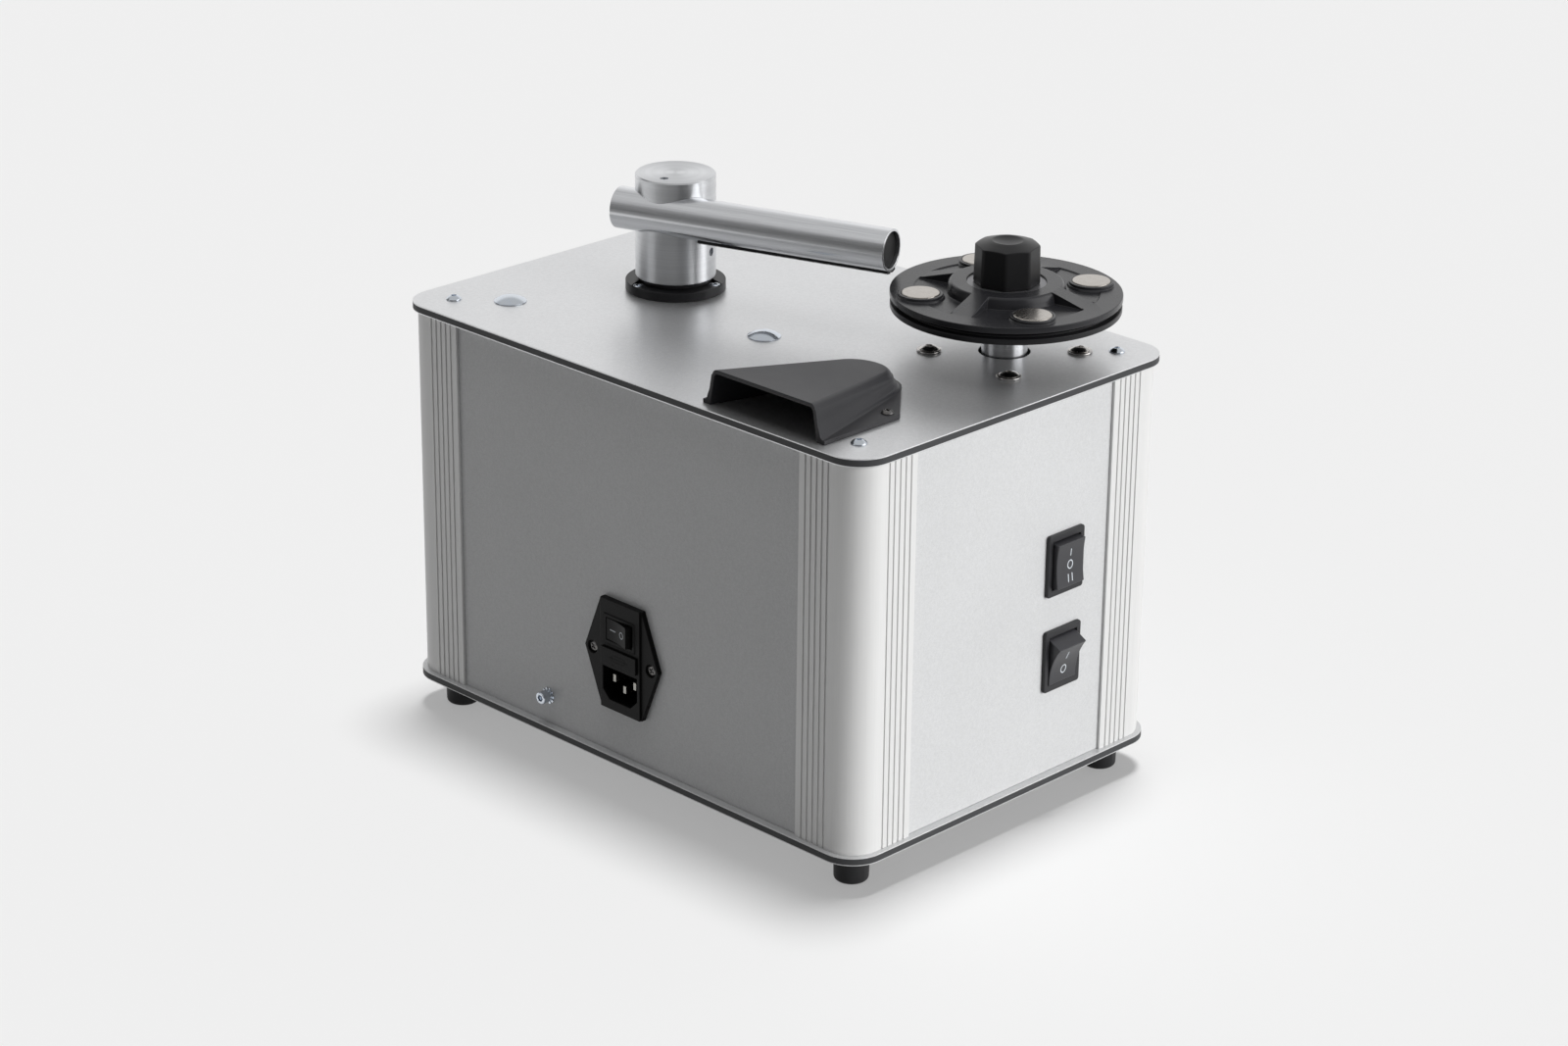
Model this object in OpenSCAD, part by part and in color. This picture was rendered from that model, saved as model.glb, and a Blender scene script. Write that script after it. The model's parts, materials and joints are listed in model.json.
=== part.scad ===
// Record cleaning machine: a vacuum arm, a driven platter with a screw clamp,
// and a ventilated box that holds the blower, the waste tank and the drive.
// Millimetres, +Z up. The origin is on the floor, under the middle of the plates.

/* [Enclosure] */
// Length of the two plates, along X
plate_length = 310; // [304:1:330]
// Width of the two plates, along Y
plate_width = 213; // [209:1:230]
// Thickness of a plate
plate_thickness = 4; // [3:0.5:6]
// Radius of a plate's corners
plate_corner_radius = 17; // [15.5:0.5:20]
// Height of a corner post, which is the gap between the plates
post_height = 189.5; // [182:0.5:230]
// How far a post's outer faces lie inside the plate's edge
post_inset = 2.5; // [1:0.5:4]
// Outer radius of a post's rounded corner
post_corner_radius = 14.5; // [13.5:0.5:15]
// Length of each leg of a post, from its outer corner
post_leg = 37; // [36:0.5:44]
// Wall of a post at its rounded corner
post_wall = 2.5; // [2:0.1:3]
// Wall of the two lips that hold a panel
lip_wall = 1.4; // [1.2:0.1:1.8]
// From a post's outer corner to the far side of its slot web
slot_start = 22; // [21.8:0.1:23]
// Thickness of the slot web
slot_web = 2; // [1.5:0.1:2.5]
// Number of grooves down each leg of a post
groove_count = 5; // [1:1:5]
// From a post's outer corner to its first groove
groove_first = 19; // [17:0.5:20]
// Distance from one groove to the next
groove_pitch = 3.5; // [2.5:0.1:4]
// Width of a groove
groove_width = 1; // [0.6:0.1:1.4]
// Depth of a groove
groove_depth = 0.6; // [0.3:0.1:0.8]
// Thickness of a side panel
panel_thickness = 3; // [2:0.5:3.5]
// Play round a panel in its slots
panel_play = 0.1; // [0.05:0.05:0.3]
// From the plate's edge to the corner screws
screw_inset = 19.1; // [18.5:0.1:20]
// Radius of the screw boss inside a post
boss_radius = 5.2; // [4.5:0.1:6]

/* [Feet] */
// Height of a foot
foot_height = 16; // [12:0.5:25]
// Radius of a foot at the plate
foot_top_radius = 8.65; // [8:0.05:10]
// Radius of a foot at the floor, above its rounded edge
foot_bottom_radius = 8.2; // [7.8:0.05:9.5]
// Radius of a foot's rounded lower edge
foot_edge_radius = 2; // [1:0.1:2.5]
// Thickness of rubber under a foot screw's head
foot_seat = 7; // [5:0.5:8]
// Radius of the recess for a foot screw's head
foot_recess_radius = 4.5; // [4.2:0.1:5]

/* [Corner screws] */
// Radius of a corner screw's thread
corner_screw_radius = 2; // [1.5:0.1:2.5]
// Radius of a corner screw's button head
corner_head_radius = 3.8; // [3.2:0.1:4]
// Height of a corner screw's button head
corner_head_height = 2.2; // [1.8:0.1:2.6]
// Length of a corner screw under its head
corner_screw_length = 25; // [20:1:40]
// Width across the flats of a corner screw's socket
corner_socket = 2.5; // [2:0.1:3]

/* [Arm base] */
// From the plates' left edge to the arm's axis
arm_from_left = 79.7; // [75:0.1:84]
// From the plates' rear edge to the arm's axis
arm_from_rear = 109.8; // [108:0.1:114]
// Direction of the suction tube, from +X
arm_angle = 18.43; // [0:0.01:45]
// Radius of the base flange
flange_radius = 24.6; // [24.4:0.1:28]
// Height of the base flange
flange_height = 4.6; // [4:0.1:8]
// Radius of the circle of flange screws
flange_screw_circle = 21.4; // [19:0.1:21.5]
// Direction of the first flange screw, from +X
flange_screw_angle = 19; // [0:1:119]
// Radius of a flange screw's countersunk head
flange_screw_head = 2.9; // [2.6:0.1:3]
// Depth of a flange screw's countersunk head
flange_screw_head_depth = 1.7; // [1.2:0.1:2]
// Radius of a flange screw's thread
flange_screw_radius = 1.5; // [1.2:0.1:1.8]
// Length of a flange screw
flange_screw_length = 8; // [6:0.1:8]
// Radius of the bush's barrel
bush_radius = 15; // [14.5:0.1:15.5]
// Radius of the bush's collar
bush_collar_radius = 18; // [17:0.1:18.2]
// Height of the bush's collar
bush_collar_height = 2.1; // [1.5:0.1:4]
// Radius of the turning pipe
pipe_radius = 12; // [11.5:0.1:12.5]
// Wall of the turning pipe
pipe_wall = 1.5; // [1:0.1:2]
// How far the pipe reaches below the top plate
pipe_reach = 19.5; // [19:0.1:21]
// How far the arm sinks when the suction draws it down
arm_sink = 1.8; // [0.5:0.1:1.8]

/* [Arm] */
// Radius of the column
column_radius = 19.7; // [18.5:0.1:22]
// Height of the column
column_height = 51.7; // [50:0.1:60]
// Chamfer of the column's edges
column_chamfer = 0.6; // [0.2:0.1:1]
// From the column's foot to the tube's axis
tube_height = 34.1; // [33:0.1:35]
// From the column's axis to the tube's axis, level and across the tube
tube_side = 12.3; // [12:0.1:12.6]
// Outer radius of the suction tube
tube_radius = 10.3; // [9.8:0.1:10.5]
// Wall of the suction tube
tube_wall = 1.3; // [0.8:0.1:2]
// Gap that the tube's swinging front end leaves to the clamp disc
tube_gap = 2.1; // [1:0.1:40]
// From the column's axis to the tube's back end
tube_back = 24.4; // [24:0.1:45]
// Radius of the hole between the pipe and the tube
duct_radius = 7.5; // [6:0.1:8]
// Length of a tube plug
plug_length = 5; // [3:0.5:8]
// How far a plug sits inside the tube's end
plug_recess = 2; // [0.5:0.5:4]
// Width of the suction slot under the tube
slot_width = 2; // [1.5:0.1:3]
// From the column's surface to the suction slot's near end
slot_gap = 14; // [6:0.5:20]
// From the suction slot's far end to the tube's front end
slot_end_gap = 10; // [8:0.5:20]
// Thickness of a velvet strip
velvet_thickness = 1; // [0.6:0.1:1.4]
// Angle that a velvet strip covers round the tube
velvet_angle = 17; // [10:1:25]
// From the column's surface to the velvet's near end
velvet_gap = 0.8; // [0.5:0.1:8]
// Radius of a set screw
set_screw_radius = 2; // [1.5:0.1:2.4]
// Length of a set screw
set_screw_length = 6; // [5:0.1:6.5]
// Width across the flats of a set screw's socket
set_screw_socket = 2; // [1.5:0.1:2.5]
// From the column's axis to its upper set screw
top_set_screw_radius = 11.7; // [5:0.1:16]
// From the column's foot to its side set screw
side_set_screw_height = 14.3; // [8:0.1:16]

/* [Drive] */
// From the plates' right edge to the platter's axis
platter_from_right = 56.4; // [55:0.1:60]
// From the plates' front edge to the platter's axis
platter_from_front = 56.5; // [54:0.1:60]
// From the platter's axis to the middle of the motor screws, along X
motor_shift_x = 0.8; // [-1:0.1:1]
// From the platter's axis to the middle of the motor screws, along Y
motor_shift_y = -0.8; // [-1:0.1:1]
// Side of the square of motor screws
motor_screw_square = 50; // [46:0.5:51]
// Radius of a motor screw's thread
motor_screw_radius = 2.5; // [2:0.1:3]
// Length of a motor screw under its head
motor_screw_length = 16; // [10:1:25]
// Radius of a motor screw's flange
motor_screw_flange = 5.9; // [5:0.1:6.5]
// Thickness of a motor screw's flange
motor_screw_flange_height = 1.1; // [0.8:0.1:1.5]
// Radius of a motor screw's button head
motor_screw_head = 4.6; // [4:0.1:4.8]
// Height of a motor screw's head, with its flange
motor_screw_head_height = 2.9; // [2.4:0.1:3.4]
// Width across the flats of a motor screw's socket
motor_screw_socket = 3; // [2.5:0.1:3.5]
// Side of the square gearbox
gearbox_side = 62; // [60:0.5:64]
// Height of the gearbox
gearbox_height = 30; // [28:1:40]
// Radius of the motor under the gearbox
gear_motor_radius = 30; // [25:0.5:31]
// Height of the motor under the gearbox
gear_motor_height = 30; // [20:1:32]
// Radius of the output shaft inside the gearbox
output_radius = 6; // [4:0.1:8]
// Length of the output shaft inside the gearbox
output_length = 24; // [15:1:26]
// Radius of the platter's shaft
shaft_radius = 10.9; // [9:0.1:11.5]
// Play of the platter's shaft in the top plate
shaft_play = 1.4; // [0.8:0.1:2]
// Height of the gap between the gearbox and the platter's shaft
shaft_gap = 0.7; // [0.4:0.1:1]

/* [Platter] */
// From the top plate to the underside of the platter
platter_clearance = 21.5; // [20:0.1:30]
// Radius of the platter
platter_radius = 54.2; // [53:0.1:56]
// Thickness of the platter
platter_thickness = 2.7; // [2:0.1:5]
// Radius of the spindle
spindle_radius = 3.55; // [3.4:0.05:3.6]
// Radius of the spindle's thread
thread_radius = 3; // [2.5:0.1:3.2]
// How far the spindle reaches into the platter's shaft
spindle_depth = 18; // [10:1:20]
// From the platter's face to the start of the spindle's thread
spindle_plain = 8.7; // [6:0.1:9]
// From the platter's face to the top of the spindle
spindle_height = 24; // [16:0.5:25.5]
// Outer radius of a rubber seal
seal_radius = 51.5; // [48:0.1:52.5]
// Width of a rubber seal
seal_width = 4.5; // [3:0.1:6]
// Thickness of a rubber seal
seal_thickness = 1.15; // [0.8:0.05:2]
// Gap between the two rubber seals
seal_gap = 0.3; // [0.3:0.05:0.8]

/* [Clamp] */
// Radius of the clamp disc
clamp_radius = 54.4; // [54:0.1:57]
// Thickness of the clamp disc at its rim
clamp_thickness = 3.05; // [2.5:0.05:4]
// Depth of the floor inside the clamp's rim
clamp_floor_depth = 0.55; // [0.3:0.05:1]
// Inner radius of the clamp's rim
clamp_rim_radius = 43.5; // [40:0.1:46]
// Radius of the hub at the clamp's floor
hub_foot_radius = 28.2; // [27:0.1:29]
// Radius of the hub below its chamfer
hub_side_radius = 27.2; // [26.5:0.1:28]
// Radius of the hub's top
hub_top_radius = 26.1; // [24:0.1:26.8]
// Height of the hub above the clamp's rim
hub_height = 4.85; // [4:0.05:6]
// Height of the hub's chamfer
hub_chamfer = 1.2; // [0.6:0.1:1.6]
// Width of a spoke at the hub
spoke_root = 9; // [7:0.5:10]
// Width of a spoke at the rim
spoke_tip = 11; // [8:0.5:13]
// Direction of the first spoke, from +X
spoke_angle = 13.5; // [0:0.5:89.5]
// Radius of the circle of magnets
magnet_circle = 41.5; // [40.5:0.1:42]
// Radius of a magnet
magnet_radius = 9; // [8:0.1:9.2]
// Thickness of a magnet
magnet_thickness = 4; // [3:0.1:5]
// Height of a magnet's top above the clamp's rim
magnet_proud = 2.05; // [1:0.05:3]
// Wall of the raised rim round a magnet
magnet_rim = 1.6; // [1:0.1:1.7]
// How far a magnet's top stands above its raised rim
magnet_step = 0.35; // [0.1:0.05:0.6]
// Outer radius of the bright ring under the knob
ring_radius = 18.65; // [17.5:0.05:20]
// Inner radius of the bright ring under the knob
ring_bore = 8; // [6:0.5:12]
// Thickness of the bright ring
ring_thickness = 0.8; // [0.6:0.1:1.2]
// Depth of the bright ring's top below the hub's top
ring_sink = 0.8; // [0.2:0.1:1.2]

/* [Knob] */
// Number of the knob's flat sides
knob_sides = 8; // [6:1:12]
// Direction of one of the knob's corners, from +X
knob_angle = -6.4; // [-45:0.1:45]
// Corner radius at the knob's foot
knob_foot_radius = 15.8; // [14:0.1:17]
// Corner radius at the top of the knob's flats
knob_top_radius = 15.3; // [13.5:0.1:16.5]
// Height of the knob's flats
knob_flat_height = 18.05; // [16:0.05:24]
// Height of the knob's domed top
knob_dome_height = 2.35; // [1.5:0.05:4]
// Radius of the dish in the knob's top
dish_radius = 7.4; // [5:0.1:9]
// Depth of the dish in the knob's top
dish_depth = 1.2; // [0.6:0.1:2]
// Gap between the knob and the bright ring
knob_gap = 0.1; // [0.05:0.05:0.3]

/* [Exhaust hood] */
// From the plates' right edge to the hood's middle
hood_from_right = 65.6; // [60:0.1:70]
// From the plates' rear edge to the hood's mouth
hood_from_rear = 5.7; // [5:0.1:10]
// Width of the hood's flange
hood_flange_width = 76.4; // [74:0.1:82]
// Length of the flange's straight sides
hood_flange_side = 48.8; // [45:0.1:50]
// Radius of the flange's round back
hood_flange_back = 20.7; // [20:0.1:22]
// Thickness of the hood's flange
hood_flange_thickness = 2; // [1.5:0.1:3]
// From the mouth to the middle of the round back
hood_length = 60.8; // [58:0.1:64]
// Width of the hood's walls at the mouth's foot
hood_foot_width = 71; // [66:0.1:72]
// Width of the hood's top at the mouth
hood_top_width = 64.6; // [60:0.1:66]
// Radius of the hood's back at its foot
hood_foot_back = 18; // [17:0.1:19]
// Radius of the hood's back at its top
hood_top_back = 15.5; // [14:0.1:16.5]
// Height of the hood at its mouth
hood_height = 17.6; // [14:0.1:19]
// Height of the hood at its round back
hood_back_height = 11.8; // [10:0.1:15]
// Radius of the hood's rounded top edges
hood_edge_radius = 3; // [2:0.1:4]
// Wall of the hood
hood_wall = 2; // [1.5:0.1:2.5]
// From the hood's middle to a hood screw
hood_screw_offset = 32.6; // [31:0.1:34]
// From the hood's mouth to the hood screws
hood_screw_back = 46.2; // [43:0.1:48]
// Radius of a hood screw's head
hood_screw_head = 3; // [2.5:0.1:3.4]
// Height of a hood screw's head
hood_screw_head_height = 1.9; // [1.4:0.1:2.4]
// Radius of a hood screw's thread
hood_screw_radius = 1.5; // [1.2:0.1:1.8]
// Length of a hood screw under its head
hood_screw_length = 8; // [5:0.5:12]

/* [Blower] */
// From the plates' left edge to the first carriage bolt
bolt_a_from_left = 40.1; // [38:0.1:42]
// From the plates' rear edge to the first carriage bolt
bolt_a_from_rear = 37; // [36.5:0.1:39]
// From the plates' left edge to the second carriage bolt
bolt_b_from_left = 161.5; // [160:0.1:164]
// From the plates' rear edge to the second carriage bolt
bolt_b_from_rear = 89.5; // [89:0.1:92]
// Radius of a carriage bolt's domed head
bolt_head_radius = 8; // [7:0.1:9]
// Height of a carriage bolt's domed head
bolt_head_height = 3; // [2.4:0.1:4]
// Radius of a carriage bolt's thread
bolt_radius = 3; // [2.5:0.1:4]
// Length of a carriage bolt under its head
bolt_length = 50; // [40:1:52]
// Outer radius of a bracket sleeve
sleeve_radius = 7; // [6:0.1:8]
// Height of the sleeves, from the blower to the top plate
sleeve_height = 49.5; // [46:0.5:60]
// Thickness of the bracket's ring and ears
bracket_thickness = 3; // [2:0.5:5]
// Outer radius of the bracket's ring
bracket_radius = 48; // [40:1:52]
// Inner radius of the bracket's ring
bracket_bore = 24; // [18:1:30]
// Width of a bracket ear
ear_width = 14; // [10:1:16]
// Radius of the blower's casing
casing_radius = 54; // [50:0.5:55]
// Height of the blower's casing
casing_height = 46; // [42:1:50]
// Wall of the blower's casing
casing_wall = 2; // [1.5:0.5:3]
// Radius of the blower's motor
blower_motor_radius = 40; // [34:1:44]
// Height of the blower's motor
blower_motor_height = 52; // [40:1:56]
// Radius of the impeller
impeller_radius = 46; // [40:1:48]
// Height of the impeller
impeller_height = 28; // [20:1:30]
// Gap under and over the impeller
impeller_gap = 4; // [3:0.5:6]
// Number of impeller blades
blade_count = 8; // [5:1:10]
// Radius of the impeller's shaft
blower_shaft_radius = 4; // [3:0.1:5]
// How far the impeller's shaft reaches into the motor
blower_shaft_reach = 14; // [8:1:20]

/* [Waste tank] */
// From the plates' left edge to the tank
tank_from_left = 27; // [26:0.5:32]
// From the plates' front edge to the tank
tank_from_front = 11; // [10.5:0.5:16]
// Length of the tank
tank_length = 165; // [140:1:170]
// Width of the tank
tank_width = 72; // [60:1:74]
// Height of the tank
tank_height = 100; // [80:1:110]
// Wall of the tank
tank_wall = 2.5; // [2:0.5:4]
// Radius of the tank's upright edges
tank_edge_radius = 6; // [5:0.5:10]
// Outer radius of the drain neck
drain_radius = 8; // [7:0.5:9]
// How far the drain neck reaches below the bottom plate
drain_drop = 3; // [2:0.5:5]
// Radius of the drain plug's shank
drain_plug_radius = 5; // [4:0.5:5.5]
// Height of the drain plug's head
drain_plug_head = 4; // [3:0.5:5]

/* [Hoses] */
// Wall of every spigot
spigot_wall = 1.5; // [1:0.1:2]
// Length of hose that slips over a spigot
hose_overlap = 10; // [8:0.5:10]
// Gap between a hose's end and the face that its spigot stands on
hose_seat = 2; // [1:0.5:2]
// Bore of the suction spigots
suction_bore = 8; // [7:0.1:9]
// Bore of the air spigots
air_bore = 9; // [8:0.1:10]
// Bore of the exhaust spigot
exhaust_bore = 13; // [11:0.5:14]
// Wall of a hose
hose_wall = 2; // [1.5:0.1:2.5]
// Bend radius of the suction hose
suction_bend = 20; // [16:0.5:22]
// Bend radius of the air hose
air_bend = 17; // [14:0.5:18]
// Bend radius of the exhaust hose
exhaust_bend = 30; // [25:1:34]
// Outer radius of the gland under the top plate
gland_radius = 17; // [16:0.1:18]
// Depth of the gland under the top plate
gland_depth = 38; // [38:0.5:42]
// Length of the gland's guide bore
gland_guide = 15; // [12:0.5:15]
// From the top plate down to the suction spigot's axis
suction_drop = 26; // [25:0.5:28]
// From the top plate down to the air hose's axis
air_drop = 19.5; // [17:0.5:21]
// Wall of the gland round its chamber
gland_wall = 3; // [2:0.5:3.5]
// Length of the gland's spigot, from its axis
gland_spigot = 32; // [30:0.5:34]
// From the arm's axis to the suction hose's drop into the tank
suction_run = 54; // [53:0.5:56]
// From the tank's left end to its air spigot
air_spigot_from_left = 113; // [108:0.5:120]
// From the tank's front side to its air spigot
air_spigot_from_front = 35; // [28:0.5:44]
// From the hood's mouth to the exhaust hole
exhaust_back = 45.8; // [42:0.1:48]

/* [Switches] */
// From the plates' front edge to the middle of the switches
switch_from_front = 70; // [69:0.5:76]
// Height of the motor switch's middle above the bottom plate
motor_switch_height = 106.6; // [100:0.1:112]
// Height of the vacuum switch's middle above the bottom plate
vacuum_switch_height = 58.2; // [50:0.1:64]
// Width of a switch's bezel
bezel_width = 25; // [24:0.1:28]
// Height of a switch's bezel
bezel_height = 31; // [30:0.1:34]
// Thickness of a switch's bezel
bezel_thickness = 2; // [1.6:0.1:2.4]
// Radius of a bezel's corners
bezel_corner_radius = 1.5; // [1:0.1:3]
// Width of a switch's body
switch_body_width = 22; // [21.8:0.1:22.6]
// Height of a switch's body
switch_body_height = 27.4; // [27:0.1:28]
// Depth of a switch's body behind its bezel
switch_body_depth = 22; // [18:0.5:24]
// Depth of the pocket that a rocker moves in
rocker_pocket_depth = 10; // [9.5:0.1:12]
// Height of the pocket that a rocker moves in
rocker_pocket_height = 24.8; // [24.6:0.1:25.2]
// Height of the bezel's window for a rocker
rocker_window_height = 24.2; // [24.2:0.1:24.6]
// Width of a rocker
rocker_width = 18.9; // [17:0.1:19]
// Gap between a rocker's side and its pocket
rocker_side_gap = 0.25; // [0.15:0.05:0.35]
// Height of the motor rocker's face
motor_rocker_face = 22; // [20:0.1:22.4]
// From the motor rocker's pin to the edges of its face
motor_rocker_reach = 7.4; // [7:0.1:8]
// Hollow of the motor rocker's face
motor_rocker_hollow = 1; // [0.6:0.1:1.6]
// Height of the vacuum rocker's face
vacuum_rocker_face = 20.4; // [19:0.1:20.5]
// From the vacuum rocker's pin to the edges of its face
vacuum_rocker_reach = 7.8; // [7.6:0.1:7.9]
// Hollow of the vacuum rocker's face
vacuum_rocker_hollow = 1.8; // [1:0.1:2]
// Height of a rocker's flanks at their widest
rocker_flank_height = 23.2; // [22.6:0.1:23.4]
// From a rocker's pin to its widest flank
rocker_shoulder = 1; // [0:0.1:1.2]
// Depth of a rocker behind its pin
rocker_tail = 3; // [2:0.1:3.5]
// Depth of a rocker's pin behind the panel's face
rocker_pin_depth = 2.1; // [1.8:0.1:2.4]
// Radius of a rocker's pin
rocker_pin_radius = 1.4; // [1:0.1:1.8]
// Length of a rocker's pin inside the rocker
rocker_pin_length = 2.5; // [2:0.1:4]
// Angle of the vacuum switch's rocker at rest, with its lower half pressed
vacuum_rocker_angle = 17; // [8:0.5:17.5]

/* [Mains inlet] */
// From the plates' middle to the middle of the inlet, along X
inlet_x = 0.8; // [-2:0.1:6]
// Height of the inlet's middle above the bottom plate
inlet_height = 52.1; // [48:0.1:60]
// Width of the inlet's flange, from tip to tip
inlet_flange_width = 50.5; // [49:0.1:54]
// Height of the inlet's flange
inlet_flange_height = 56.3; // [54:0.1:60]
// Length of the flange's flat upper and lower edges
inlet_flange_flat = 28; // [26:0.1:32]
// Thickness of the inlet's flange
inlet_flange_thickness = 2.7; // [2.4:0.1:3.2]
// Width of the raised middle band
inlet_band_width = 27.1; // [26.5:0.1:28]
// Height of the raised middle band over the flange
inlet_band_height = 1; // [0.6:0.1:1.4]
// Distance between the two inlet screws
inlet_screw_spacing = 40; // [38:0.5:41]
// Radius of an inlet screw's head
inlet_screw_head = 2.8; // [2.4:0.1:3]
// Radius of the counterbore for an inlet screw's head
inlet_counterbore = 3.2; // [3.1:0.1:3.4]
// Depth of the counterbore for an inlet screw's head
inlet_counterbore_depth = 1.5; // [1:0.1:1.7]
// Height of an inlet screw's head
inlet_screw_head_height = 1.3; // [0.8:0.1:1.4]
// Radius of an inlet screw's thread
inlet_screw_radius = 1.5; // [1.2:0.1:1.7]
// Length of an inlet screw under its head
inlet_screw_length = 8; // [5:0.5:12]
// Width of the inlet's body behind the panel
inlet_body_width = 27; // [26.6:0.1:28]
// Height of the inlet's body behind the panel
inlet_body_height = 49; // [48.6:0.1:50]
// Depth of the inlet's body behind the panel
inlet_body_depth = 27; // [26:0.5:30]
// Width of the frame round the inlet's rocker
inlet_frame_width = 21; // [20:0.1:22]
// Height of the frame round the inlet's rocker
inlet_frame_height = 15; // [14:0.1:15]
// Height of the frame over the middle band
inlet_frame_step = 0.4; // [0.2:0.1:0.6]
// From the inlet's middle up to the rocker's middle
inlet_rocker_up = 13.5; // [13:0.1:13.6]
// Length of the inlet's rocker
inlet_rocker_length = 16; // [14:0.1:16]
// Width of the inlet's rocker
inlet_rocker_width = 11; // [10:0.1:11]
// From the inlet rocker's pin to the edges of its face
inlet_rocker_reach = 4.3; // [4:0.1:4.5]
// Depth of the inlet rocker's pin behind the frame's face
inlet_rocker_pin_depth = 3; // [2.8:0.1:3.2]
// Room for the inlet's rocker along its frame
inlet_rocker_room = 17.8; // [17.6:0.1:18]
// Depth of the inlet rocker's pocket behind the frame's face
inlet_rocker_pocket = 7.2; // [7:0.1:8]
// Hollow of the inlet rocker's face
inlet_rocker_hollow = 0.8; // [0.4:0.1:1]
// Depth of the inlet rocker behind its pin
inlet_rocker_tail = 2; // [1.6:0.1:2.2]
// Angle of the inlet's rocker at rest
inlet_rocker_angle = 10; // [6:0.5:10]
// Width of the fuse drawer's front
drawer_width = 23.8; // [22:0.1:24]
// Height of the fuse drawer's front
drawer_height = 8.4; // [8:0.1:8.6]
// Thickness of the fuse drawer's front
drawer_front = 1.2; // [0.8:0.1:1.6]
// From the inlet's middle up to the fuse drawer's middle
drawer_up = -0.25; // [-0.3:0.05:0]
// Width of the fuse drawer's tray
tray_width = 22; // [21.6:0.1:22]
// Height of the fuse drawer's tray
tray_height = 6.6; // [6.4:0.1:7]
// Depth of the fuse drawer's tray
tray_depth = 18; // [14:0.5:20]
// Play of the fuse drawer in its pocket
tray_play = 0.15; // [0.05:0.05:0.25]
// Radius of the fuse
fuse_radius = 2.6; // [2.3:0.1:2.6]
// Length of the fuse
fuse_length = 20; // [18:0.5:20]
// Width of the appliance socket
socket_width = 23.6; // [22:0.1:24]
// Height of the appliance socket
socket_height = 16.4; // [15:0.1:16.5]
// Size of the clipped lower corners of the appliance socket
socket_clip = 4.5; // [3:0.1:6]
// From the inlet's middle up to the socket's middle
socket_up = -14.8; // [-14.9:0.1:-14]
// Depth of the appliance socket
socket_depth = 17; // [15:0.5:18]
// Width of a contact pin
pin_width = 4; // [3:0.1:5]
// Thickness of a contact pin
pin_thickness = 2; // [1.5:0.1:2.2]
// Free length of a contact pin
pin_length = 14; // [10:0.5:14]
// Distance between the two upper contact pins
pin_spacing = 14; // [12:0.1:14]
// Height of the upper contact pins over the socket's middle
pin_rise = 2; // [1:0.1:2.5]

/* [Earth screw] */
// From the plates' left edge to the earth screw
earth_from_left = 101; // [95:0.5:110]
// Height of the earth screw above the bottom plate
earth_height = 14.4; // [12:0.1:20]
// Radius of the earth screw's head
earth_head_radius = 3.1; // [2.8:0.1:4]
// Height of the earth screw's head
earth_head_height = 5; // [3:0.1:6]
// Radius of the earth screw's thread
earth_screw_radius = 2; // [1.5:0.1:2.5]
// Length of the earth screw under its head
earth_screw_length = 12; // [8:0.5:16]
// Radius of the star washer
star_washer_radius = 4.25; // [3.8:0.05:5]
// Thickness of the star washer
star_washer_thickness = 0.8; // [0.5:0.1:1]
// Number of teeth round the star washer
star_tooth_count = 10; // [8:1:12]
// Width across the flats of the earth screw's socket
earth_socket = 3; // [2.5:0.1:3.5]

/* [Electrics] */
// Length of the run capacitor
capacitor_length = 38; // [30:1:42]
// Width of the run capacitor
capacitor_width = 18; // [14:1:22]
// Height of the run capacitor
capacitor_height = 28; // [20:1:34]
// From the plates' right edge to the run capacitor's middle
capacitor_from_right = 61; // [55:1:65]
// From the plates' rear edge to the run capacitor's middle
capacitor_from_rear = 46.5; // [40:0.5:60]
// Radius of a wiring lead
lead_radius = 1.6; // [1:0.1:1.8]

/* [Fits] */
// Play between a screw or a pressed pin and its hole
screw_play = 0.05; // [0.02:0.01:0.1]
// Running play between a pin, shaft or pipe and its bore
running_play = 0.05; // [0.03:0.01:0.1]
// Play at the end of a panel in its slot
panel_end_play = 0.5; // [0.3:0.1:1]
// Play between the bush's barrel and the top plate
bush_plate_play = 0.4; // [0.3:0.05:0.8]
// Length of the inner lip that backs a panel
inner_lip = 12; // [8:0.5:15]
// Play round the bright ring in the clamp's hub
ring_play = 0.1; // [0.05:0.05:0.3]
// Gap between the spindle's end and the knob's blind bore
knob_bore_gap = 0.8; // [0.4:0.1:1.2]

/* [Hidden] */
$fn = 64;

// How far a cutting shape runs past the face that it cuts
cut = 1;

// Heights
z_floor = foot_height + plate_thickness;
z_under = z_floor + post_height;
z_top = z_under + plate_thickness;
z_flange = z_top + flange_height;
z_column = z_flange + bush_collar_height;
z_tube = z_column + tube_height;
z_platter = z_top + platter_clearance;
z_platter_face = z_platter + platter_thickness;
z_clamp = z_platter_face + 2 * seal_thickness + seal_gap;
z_hub = z_clamp + clamp_thickness + hub_height;
z_ring = z_hub - ring_sink;
z_knob = z_ring + knob_gap;
z_foot_seat = foot_height - foot_seat;
z_casing_top = z_under - sleeve_height;
z_casing = z_casing_top - casing_height;
z_exhaust = z_casing_top - casing_height / 2;
z_tank_top = z_floor + tank_height;
z_suction = z_under - suction_drop;
z_air = z_under - air_drop;
z_pipe_foot = z_under - pipe_reach;
z_pipe_top = z_tube - tube_radius - pipe_wall;

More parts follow.
